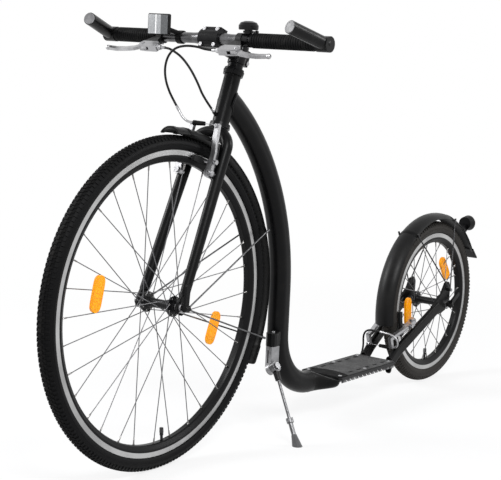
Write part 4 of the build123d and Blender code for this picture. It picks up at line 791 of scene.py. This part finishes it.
bolt_head = [(-0.0003, 0.0036), (0.0026, 0.0036), (0.0031, 0.0032), (0.0031, 0.0019), (0.0016, 0.0017)]
pin_head = [(-0.0003, 0.0042), (0.0009, 0.0042), (0.0015, 0.0035), (0.0016, 0.0016), (0.0010, 0.0013)]
for hand, side, offset in (("left", 1, 0.052), ("right", -1, 0.112)):
    barrel = beside_bar(side * offset) + 0.047 * lever_ahead
    collar = [(-0.0002, 0.0047), (0.0004, 0.0057), (0.0060, 0.0057), (0.0066, 0.0048), (0.0088, 0.0047),
              (0.0090, 0.0030)]
    turned_pins(hand + "_cable_barrel", barrel, (0, -side, 0), collar, 36, polished_blade, "steering",
                flutes=0.07)
    pin = beside_bar(side * (offset + 0.042)) + 0.044 * lever_ahead
    turned_pins(hand + "_lever_pin", [pin + 0.0073 * lever_up, pin - 0.0073 * lever_up],
                [lever_up, -lever_up],
                pin_head, 24, zinc_plate, "steering")
    clamp = beside_bar(side * (offset + 0.023), 0, -0.0142)
    turned_pins(hand + "_clamp_screw", clamp, (0, 0, -1), bolt_head, 24, zinc_plate, "steering")

# ---------------------------------------------------------------------------------------------------------
# Brake cables: a steel wire in a springy black housing, which bows out of
# the levers in free curves and ends in plated ferrules at its stops.
# ---------------------------------------------------------------------------------------------------------
cable_sleeve, tree, shader = finish("cable_sleeve", (0.004, 0.004, 0.0043), 0.42, specular=0.15)
tree.links.new(spread(tree, grain(tree, 70, 5), 0.34, 0.5), shader.inputs["Roughness"])
tree.links.new(tinted(tree, spread(tree, grain(tree, 30, 4), 0, 1), (0.005, 0.005, 0.0055),
                      (0.012, 0.012, 0.012)),
               shader.inputs["Base Color"])
relief(tree, shader, grain(tree, 1500, 2), 0.00004, 0.4)

front_route = [
    (-0.0964, 0.0427, 0.8651), (-0.0964, 0.0287, 0.8651), (-0.0930, 0.0120, 0.8670),
               (-0.0910, -0.0040, 0.8710),
    (-0.0870, -0.0310, 0.8720), (-0.0840, -0.0560, 0.8660), (-0.0840, -0.0740, 0.8490),
               (-0.0860, -0.0830, 0.8250),
    (-0.0910, -0.0840, 0.7990), (-0.0980, -0.0780, 0.7740), (-0.1105, -0.0755, 0.7559),
               (-0.1128, -0.0622, 0.7361)]
head_route = [
    (-0.0964, -0.1027, 0.8651), (-0.0964, -0.0887, 0.8651), (-0.0950, -0.0740, 0.8620),
              (-0.1010, -0.0520, 0.8490),
    (-0.1090, -0.0330, 0.8250), (-0.1180, -0.0190, 0.7960), (-0.1270, -0.0100, 0.7670),
              (-0.1577, -0.0050, 0.7365)]
loop_route = [
    (-0.8280, -0.0478, 0.0880), (-0.8600, -0.0481, 0.0880), (-0.8800, -0.0515, 0.0970),
              (-0.8880, -0.0520, 0.1190),
    (-0.8803, -0.0500, 0.1469), (-0.8764, -0.0380, 0.1636), (-0.8797, -0.0142, 0.1648),
              (-0.8774, 0.0117, 0.1639)]


def free_line(route):
    """Points of the NURBS line of order 3 that a route's places control."""
    line = bpy.data.curves.new("cable_line", "CURVE")
    line.dimensions = "3D"
    line.resolution_u = 12
    strand = line.splines.new("NURBS")
    strand.points.add(len(route) - 1)
    strand.points.foreach_set("co", np.column_stack([leaned(route), np.ones(len(route))]).ravel())
    strand.order_u = 3
    strand.use_endpoint_u = True
    holder = bpy.data.objects.new("cable_line", line)
    mesh = bpy.data.meshes.new_from_object(holder)
    points = np.zeros(3 * len(mesh.vertices))
    mesh.vertices.foreach_get("co", points)
    bpy.data.meshes.remove(mesh)
    bpy.data.curves.remove(line)
    return points.reshape(-1, 3)


def cable(name, route, helper):
    """Tube round a route's free line, riding on no body, with its place baked into its points."""
    rings = carried(free_line(route), 0.0025, 14, helper)
    sleeve = shells(name, [rings], cable_sleeve, None)
    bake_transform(sleeve)
    return sleeve


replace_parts(cable("front_cable_sleeve", front_route, np.array([1.0, 0, 0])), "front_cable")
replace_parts(cable("rear_cable_head_run", head_route, np.array([1.0, 0, 0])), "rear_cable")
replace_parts(cable("rear_cable_loop", loop_route, np.array([1.0, 1.0, -1.0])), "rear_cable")

ferrule = [(-0.0002, 0.0027), (0.0, 0.0031), (0.0100, 0.0031), (0.0104, 0.0028), (0.0104, 0.0026)]
for place, route, body in (("front_barrel", front_route, "steering"),
                           ("front_noodle", front_route[::-1], "right_front_arm"),
                           ("rear_barrel", head_route, "steering"),
                           ("frame_stop", head_route[::-1], "frame"),
                           ("rear_noodle", loop_route[::-1], "left_rear_arm")):
    way = np.subtract(route[1], route[0])
    turned_pins(place + "_ferrule", route[0], way, ferrule, 20, zinc_plate, body)

# ---------------------------------------------------------------------------------------------------------
# Brake arms: bright cast aluminium on the fork and on the stays, each with a black rubber pad on the rim's
# track, a bent steel guide and a ribbed rubber boot over the wire, and a thin black return spring.
# ---------------------------------------------------------------------------------------------------------
front_pivot_up = 0.283
rear_slope = math.radians(-20)
rear_out = np.array([math.cos(rear_slope), 0, math.sin(rear_slope)])
rear_lift = np.array([-math.sin(rear_slope), 0, math.cos(rear_slope)])
rear_pivot = rear_axle + 0.1495 * rear_out + 0.022 * rear_lift


def on_front_brake(side, out, lift):
    """Place in the front brake: to the left, up the arms from their pivots, and ahead of the arms' middle."""
    return on_fork(0.046 + lift, side, front_pivot_up + out)


def on_rear_brake(side, out, lift):
    """Place in the rear brake: to the left, out along the arms from their pivots, and up off them."""
    return rear_pivot + out * rear_out + lift * rear_lift + np.array([0, side, 0])


def arm_finish(name, axle, pad_top):
    """Bright casting, but black rubber where a pad lies: within 20.9 mm of the middle and below a radius."""
    material, tree, shader = finish(name, (0.42, 0.42, 0.43), 0.36, specular=0.25)
    side = maths(tree, "ABSOLUTE", along(tree, axle, (0, 1, 0)))
    rubber = maths(tree, "MULTIPLY", maths(tree, "LESS_THAN", side, 0.0209),
                   maths(tree, "LESS_THAN", far_from(tree, axle), pad_top))
    clouds = spread(tree, grain(tree, 90, 4), 0, 1)
    casting = tinted(tree, clouds, (0.44, 0.44, 0.45), (0.36, 0.36, 0.37))
    tree.links.new(tinted(tree, rubber, casting, (0.007, 0.007, 0.0075)), shader.inputs["Base Color"])
    tree.links.new(maths(tree, "SUBTRACT", 1.0, rubber), shader.inputs["Metallic"])
    tree.links.new(maths(tree, "MULTIPLY_ADD", rubber, 0.3, spread(tree, grain(tree, 300), 0.28, 0.44)),
                   shader.inputs["Roughness"])
    relief(tree, shader, grain(tree, 1300, 3), 0.00006, 0.5)
    return material


dress(arm_finish("front_arm_casting", front_axle, 0.3155), "left_front_brake_arm", "right_front_brake_arm")
dress(arm_finish("rear_arm_casting", rear_axle, 0.182), "left_rear_brake_arm", "right_rear_brake_arm")

boot_rubber, tree, shader = finish("boot_rubber", (0.004, 0.004, 0.0043), 0.6, specular=0.08)
tree.links.new(spread(tree, grain(tree, 150, 5), 0.5, 0.7), shader.inputs["Roughness"])
tree.links.new(tinted(tree, spread(tree, grain(tree, 90, 5), 0, 1), (0.005, 0.005, 0.0055),
                      (0.013, 0.0125, 0.012)),
               shader.inputs["Base Color"])
relief(tree, shader, grain(tree, 1500, 3), 0.00006, 0.5)

boot_reach = np.linspace(0, 0.0285, 96)
boot_radius = 0.0050 - 0.0010 * boot_reach / 0.0285 + 0.0006 * np.cos(2 * math.pi * boot_reach / 0.00285)
boot = [(-0.0008, 0.0030), *zip(boot_reach, boot_radius), (0.0289, 0.0014)]
anchor = [(-0.0003, 0.0050), (0.0012, 0.0050), (0.0015, 0.0041), (0.0052, 0.0041), (0.0057, 0.0036),
          (0.0057, 0.0019),
          (0.0040, 0.0017)]
turned_pins("front_cable_boot", on_front_brake(-0.027, 0.102, 0.0065), (0, 1, 0), boot, 24, boot_rubber,
            "right_front_arm")
turned_pins("rear_cable_boot", on_rear_brake(0.024, 0.098, -0.027), (0, -1, 0), boot, 24, boot_rubber,
            "left_rear_arm")
turned_pins("front_wire_anchor", on_front_brake(0.033, 0.100, 0.0045), steerer_ahead, anchor, 6, zinc_plate,
            "left_front_arm")
turned_pins("rear_wire_anchor", on_rear_brake(-0.033, 0.105, -0.020), rear_out, anchor, 6, zinc_plate,
            "right_rear_arm")

spring_steel, tree, shader = finish("spring_steel", (0.012, 0.012, 0.013), 0.4, specular=0.3)
tree.links.new(spread(tree, grain(tree, 260), 0.32, 0.5), shader.inputs["Roughness"])
spring_lift = np.linspace(0, 1, 40)


def return_spring(name, on_brake, side, body):
    """Wire up an arm's outer edge: it starts behind the pivot and bows out by 2.5 mm * sin(pi * share)."""
    path = [on_brake(side * (0.0475 - 0.004 * share + 0.0025 * math.sin(math.pi * share)),
                     0.006 + 0.066 * share, -0.0052)
            for share in spring_lift]
    shells(name, [carried(leaned(path), 0.0008, 8, ahead + up)], spring_steel, body)


for hand, side in (("left", 1), ("right", -1)):
    return_spring(hand + "_front_spring", on_front_brake, side, hand + "_front_arm")
    return_spring(hand + "_rear_spring", on_rear_brake, side, hand + "_rear_arm")

# ---------------------------------------------------------------------------------------------------------
# Footboard: a folded aluminium tray, anodised dark and rubbed along its toothed skirts, under a sheet of
# gritty non-slip tape held by six screws. In front of it the beam flares from the tube to the tray's width:
# half width and heights follow share^2 * (3 - 2 * share), and the section turns from an oval into a hull.
# ---------------------------------------------------------------------------------------------------------
deck_anodised, tree, shader = finish("deck_anodised", (0.02, 0.02, 0.021), 0.36, specular=0.2)
deck_level = along(tree, (0, 0, deck_top), (0, 0, 1))
rubbed = spread(tree, maths(tree, "ADD", deck_level, spread(tree, grain(tree, 60, 6), -0.003, 0.003)), 1, 0,
                -0.0140, -0.0095)
upper_face = spread(tree, deck_level, 0, 1, -0.0016, -0.0012)
skirt_black = tinted(tree, rubbed, (0.010, 0.010, 0.011), (0.16, 0.16, 0.16))
tree.links.new(tinted(tree, upper_face, skirt_black, (0.002, 0.002, 0.0022)), shader.inputs["Base Color"])
tree.links.new(maths(tree, "MULTIPLY_ADD", upper_face, 0.55,
                     spread(tree, grain(tree, 90, 5, 0.6, (0.1, 1, 1)), 0.28, 0.45)),
               shader.inputs["Roughness"])
relief(tree, shader, grain(tree, 1000, 3), 0.00005, 0.4)
dress(deck_anodised, "deck_plate")

grit_tape, tree, shader = finish("grit_tape", (0.01, 0.01, 0.01), 0.85, specular=0.12)
specks = spread(tree, grain(tree, 1900, 2, 0.8), 0, 1, 0.45, 0.72)
trodden = spread(tree, grain(tree, 18, 5), 0.4, 1)
tape_side = along(tree, (deck_front, 0, deck_top), (0, 1, 0))
tape_edge = maths(tree, "MULTIPLY_ADD", maths(tree, "MULTIPLY", tape_side, tape_side), -5.0,
                  along(tree, (deck_front - 0.034, 0, deck_top), (1, 0, 0)))
taped = spread(tree, tape_edge, 1, 0, -0.0178, -0.0172)
gritty = tinted(tree, maths(tree, "MULTIPLY", specks, trodden), (0.045, 0.045, 0.046), (0.30, 0.298, 0.295))
tree.links.new(tinted(tree, taped, (0.003, 0.003, 0.0033), gritty), shader.inputs["Base Color"])
tree.links.new(spread(tree, grain(tree, 40, 4), 0.72, 0.95), shader.inputs["Roughness"])
relief(tree, shader, maths(tree, "MULTIPLY", specks, taped), 0.0005, 0.8)
dress(grit_tape, "deck_tread")

tube_half, half_gain = 0.0224, 0.0333
tube_rise, top_drop, under_drop = 0.0264, 0.0218, 0.0050
nose_axis_height, nose_start, nose_length = 0.090, -0.552, 0.0608
nose_share = np.linspace(0, 1, 40)[:, None]
nose_turn = np.linspace(0, 2 * math.pi, 120, endpoint=False)[None, :]
nose_across, nose_upward = np.cos(nose_turn), np.sin(nose_turn)
flare = nose_share**2 * (3 - 2 * nose_share)
nose_half = tube_half + half_gain * flare**1.2
nose_rise = np.where(nose_upward > 0, tube_rise - top_drop * flare, tube_rise - under_drop * flare)
squareness = 1 / (1 + 1.1 * flare)
nose_side = nose_half * np.sign(nose_across) * np.abs(nose_across) ** squareness
nose_bow = np.abs(nose_upward) ** np.where(nose_upward > 0, squareness, 1)
nose_lift = nose_axis_height + nose_rise * np.sign(nose_upward) * nose_bow
nose_x = np.broadcast_to(nose_start - nose_length * nose_share, nose_side.shape)
shells("beam_nose", [leaned(np.stack([nose_x, nose_side, nose_lift], -1))], powder_coat, "frame",
       50)

deck_screws = [(x, y, deck_top) for x in (deck_back + 0.016, (deck_back + deck_front) / 2,
                                          deck_front - 0.016)
               for y in (-0.046, 0.046)]
turned_pins("deck_screws", deck_screws, (0, 0, 1),
            [(-0.0003, 0.0050), (0.0003, 0.0050), (0.0010, 0.0042), (0.0013, 0.0030), (0.0013, 0.0019),
             (0.0005, 0.0016)],
            24, zinc_plate, "frame")

# ---------------------------------------------------------------------------------------------------------
# Mudguards: satin black plastic, moulded thin, with a strap round the guard wherever a stay or the crown
# holds it, and a rubber flap on the tail of the front one.
# ---------------------------------------------------------------------------------------------------------
guard_plastic, tree, shader = finish("guard_plastic", (0.003, 0.003, 0.0033), 0.42, specular=0.18)
tree.links.new(spread(tree, grain(tree, 14, 6), 0.34, 0.5), shader.inputs["Roughness"])
tree.links.new(tinted(tree, spread(tree, grain(tree, 28, 6), 0, 1, 0.5, 0.75), (0.0025, 0.0025, 0.0028),
                      (0.007, 0.0067, 0.0064)),
               shader.inputs["Base Color"])
relief(tree, shader, grain(tree, 900, 2), 0.00005, 0.4)
dress(guard_plastic, "front_fender", "rear_fender")


def strap(name, axle, outer, half, start, end, thickness, material, body):
    """Strap round a mudguard's arch between two angles.

    The arch is a circle of radius (half^2 + 13^2) / 26 mm through the guard's crown and edges. A point is the
    axle + (outer - arch radius + radius * cos t) outwards and radius * sin t to the left, where the radius is
    the arch radius plus the thickness on the outside, and minus 2.3 mm on the inside.
    """
    arch = (half**2 + 0.013**2) / 0.026
    spread_angle = math.asin(half / arch) * 1.01
    t = np.linspace(-spread_angle, spread_angle, 33)
    angle = np.concatenate([t, t[::-1]])
    bevel = np.radians(end - start) * 0.08
    turn = np.radians([start, start, end, end]) + np.array([0, bevel, -bevel, 0])
    proud = thickness * np.array([0.4, 1.0, 1.0, 0.4])[:, None]
    section = np.concatenate([arch + np.broadcast_to(proud, (4, 33)), np.full((4, 33), arch - 0.0023)], 1)
    reach = outer - arch + section * np.cos(angle)
    rings = leaned(round_wheel(axle, turn[:, None], reach, section * np.sin(angle)))
    return shells(name, [rings], material, body, 30)


for turn in (99, 159, 199):
    strap(f"front_guard_strap_{turn}", front_axle, 0.363, 0.024, turn - 1.0, turn + 1.0, 0.0009,
          housing_black, "steering")
for turn in (57, 108):
    strap(f"rear_guard_strap_{turn}", rear_axle, 0.237, 0.027, turn - 1.6, turn + 1.6, 0.0009,
          housing_black, "frame")
strap("front_guard_lip", front_axle, 0.363, 0.024, 91.6, 93.2, 0.0014, guard_plastic, "steering")
strap("front_guard_flap", front_axle, 0.363, 0.024, 202, 208.8, 0.0014, boot_rubber, "steering")

# ---------------------------------------------------------------------------------------------------------
# Mudguard stays: drawn wire, bright in front and dark behind, looped at the dropouts under small bolts and
# clipped to the guards' edges.
# ---------------------------------------------------------------------------------------------------------
bright_wire, tree, shader = finish("bright_wire", (0.12, 0.12, 0.125), 0.4, metallic=1.0)
tree.links.new(spread(tree, grain(tree, 200), 0.34, 0.5), shader.inputs["Roughness"])
tree.links.new(tinted(tree, spread(tree, grain(tree, 60, 5), 0, 1), (0.14, 0.14, 0.145),
                      (0.08, 0.08, 0.083)),
               shader.inputs["Base Color"])
dress(bright_wire, "front_fender_stays")
dark_wire, tree, shader = finish("dark_wire", (0.05, 0.05, 0.052), 0.36, metallic=1.0)
tree.links.new(spread(tree, grain(tree, 200), 0.3, 0.48), shader.inputs["Roughness"])
tree.links.new(tinted(tree, spread(tree, grain(tree, 60, 5), 0, 1), (0.06, 0.06, 0.062),
                      (0.03, 0.03, 0.031)),
               shader.inputs["Base Color"])
dress(dark_wire, "rear_fender_stays")

stay_bolt = [(-0.0003, 0.0043), (0.0022, 0.0043), (0.0028, 0.0037), (0.0028, 0.0020), (0.0014, 0.0018)]
for wheel, eyelet, stand_off, body in (("front", on_fork(0.0245, 0, 0.001), 0.061, "steering"),
                                       ("rear", rear_axle + np.array([-0.003, 0, 0.038]), 0.065, "frame")):
    turned_pins(wheel + "_stay_bolts", [eyelet + np.array([0, side * stand_off, 0]) for side in (1, -1)],
                [(0, 1, 0), (0, -1, 0)], stay_bolt, 24, zinc_plate, body)

# ---------------------------------------------------------------------------------------------------------
# Rear light: a black round housing on the guard, closed by a red acrylic lens moulded with rows of prisms
# and a plain rim.
# ---------------------------------------------------------------------------------------------------------
light_centre = np.array([-1.314454, 0, 0.409454])
red_lens, tree, shader = finish("red_lens", (0.5, 0.01, 0.008), 0.22, specular=0.4, coat=0.3)
cells = tree.nodes.new("ShaderNodeTexVoronoi")
cells.inputs["Scale"].default_value = 420
tree.links.new(place_on(tree), cells.inputs["Vector"])
cell_depth = spread(tree, cells.outputs["Distance"], 0, 1, 0.1, 0.8)
tree.links.new(tinted(tree, cell_depth, (0.55, 0.012, 0.010), (0.22, 0.002, 0.002)),
               shader.inputs["Base Color"])
relief(tree, shader, cell_depth, 0.0003, 0.6)
turned_pins("rear_light_lens", light_centre - np.array([0.0156, 0, 0]), (-1, 0, 0),
            [(0, 0.0166), (0.0006, 0.0170), (0.0013, 0.0155), (0.0018, 0.0120), (0.0021, 0.0075),
             (0.0022, 0.0030),
             (0.0022, 0.0006)], 48, red_lens, "frame")

# ---------------------------------------------------------------------------------------------------------
# Side stand: an aluminium bracket bolted to the tube's lug, a black pivot, and a telescoping steel leg that
# a small clamp holds at its length, with a worn rubber-tipped foot.
# ---------------------------------------------------------------------------------------------------------
stand_pivot = np.array([-0.362, 0.040, 0.163])
stand_foot = np.array([-0.323, 0.137, 0.137 * math.tan(math.radians(3.2))])
stand_length = float(np.linalg.norm(stand_foot - stand_pivot))
stand_down = (stand_foot - stand_pivot) / stand_length


def stand_finish(name, metal, black, where):
    """Bright metal blended into black by an amount that a function works out from the node tree."""
    material, tree, shader = finish(name, metal, 0.36, specular=0.25)
    dark = where(tree)
    clouds = tinted(tree, spread(tree, grain(tree, 50, 5), 0, 1), metal, [0.7 * part for part in metal])
    tree.links.new(tinted(tree, dark, clouds, black), shader.inputs["Base Color"])
    tree.links.new(maths(tree, "SUBTRACT", 1.0, dark), shader.inputs["Metallic"])
    tree.links.new(maths(tree, "MULTIPLY_ADD", dark, 0.12, spread(tree, grain(tree, 240, 4), 0.28, 0.44)),
                   shader.inputs["Roughness"])
    relief(tree, shader, grain(tree, 1100, 3), 0.00006, 0.5)
    return material


def down_leg(tree):
    """Distance from the stand's pivot down its leg."""
    return along(tree, stand_pivot, stand_down)


def painted_slot_shade(tree):
    """One in a 3.6 mm wide stripe of painted shade down the bracket's front, standing for the shade in its
    slot, from 4 to 34 mm above the pivot.
    """
    across = maths(tree, "ABSOLUTE", along(tree, (-0.366, 0.0165, 0.182), (0, 1, 0)))
    height = maths(tree, "ABSOLUTE", along(tree, (-0.366, 0.0165, 0.182), (0, 0, 1)))
    return maths(tree, "MULTIPLY", maths(tree, "LESS_THAN", across, 0.0018),
                 maths(tree, "LESS_THAN", height, 0.015))


def collar(tree):
    """One between 12.9 and 32.5 mm down the leg."""
    return maths(tree, "LESS_THAN",
                 maths(tree, "ABSOLUTE", maths(tree, "SUBTRACT", down_leg(tree), 0.0227)), 0.0098)


def tip(tree):
    """One on the foot's last 26 mm and beyond."""
    return maths(tree, "GREATER_THAN", down_leg(tree), stand_length - 0.026)


# painted shade: the bracket's dark stripe stands for the shade in a slot; the leg's collar and the foot's tip
# are dark in their own colour
dress(stand_finish("stand_bracket", (0.34, 0.34, 0.35), (0.006, 0.006, 0.0065), painted_slot_shade), "kickstand_bracket")
dress(stand_finish("stand_leg", (0.16, 0.16, 0.165), (0.006, 0.006, 0.0065), collar), "kickstand_leg")
dress(stand_finish("stand_foot", (0.18, 0.18, 0.185), (0.09, 0.09, 0.092), tip), "kickstand_foot")
clamp_out = np.cross(stand_down, left)
turned_pins("stand_clamp_screw", stand_pivot + 0.1275 * stand_down + 0.0076 * clamp_out, clamp_out,
            bolt_head, 24,
            zinc_plate, "kickstand_foot")
lug_bolts = [(-0.398 + 0.0195, 0.020, 0.2365)]
turned_pins("stand_lug_bolt", lug_bolts, (0, 0, 1), bolt_head, 24, zinc_plate, "frame")
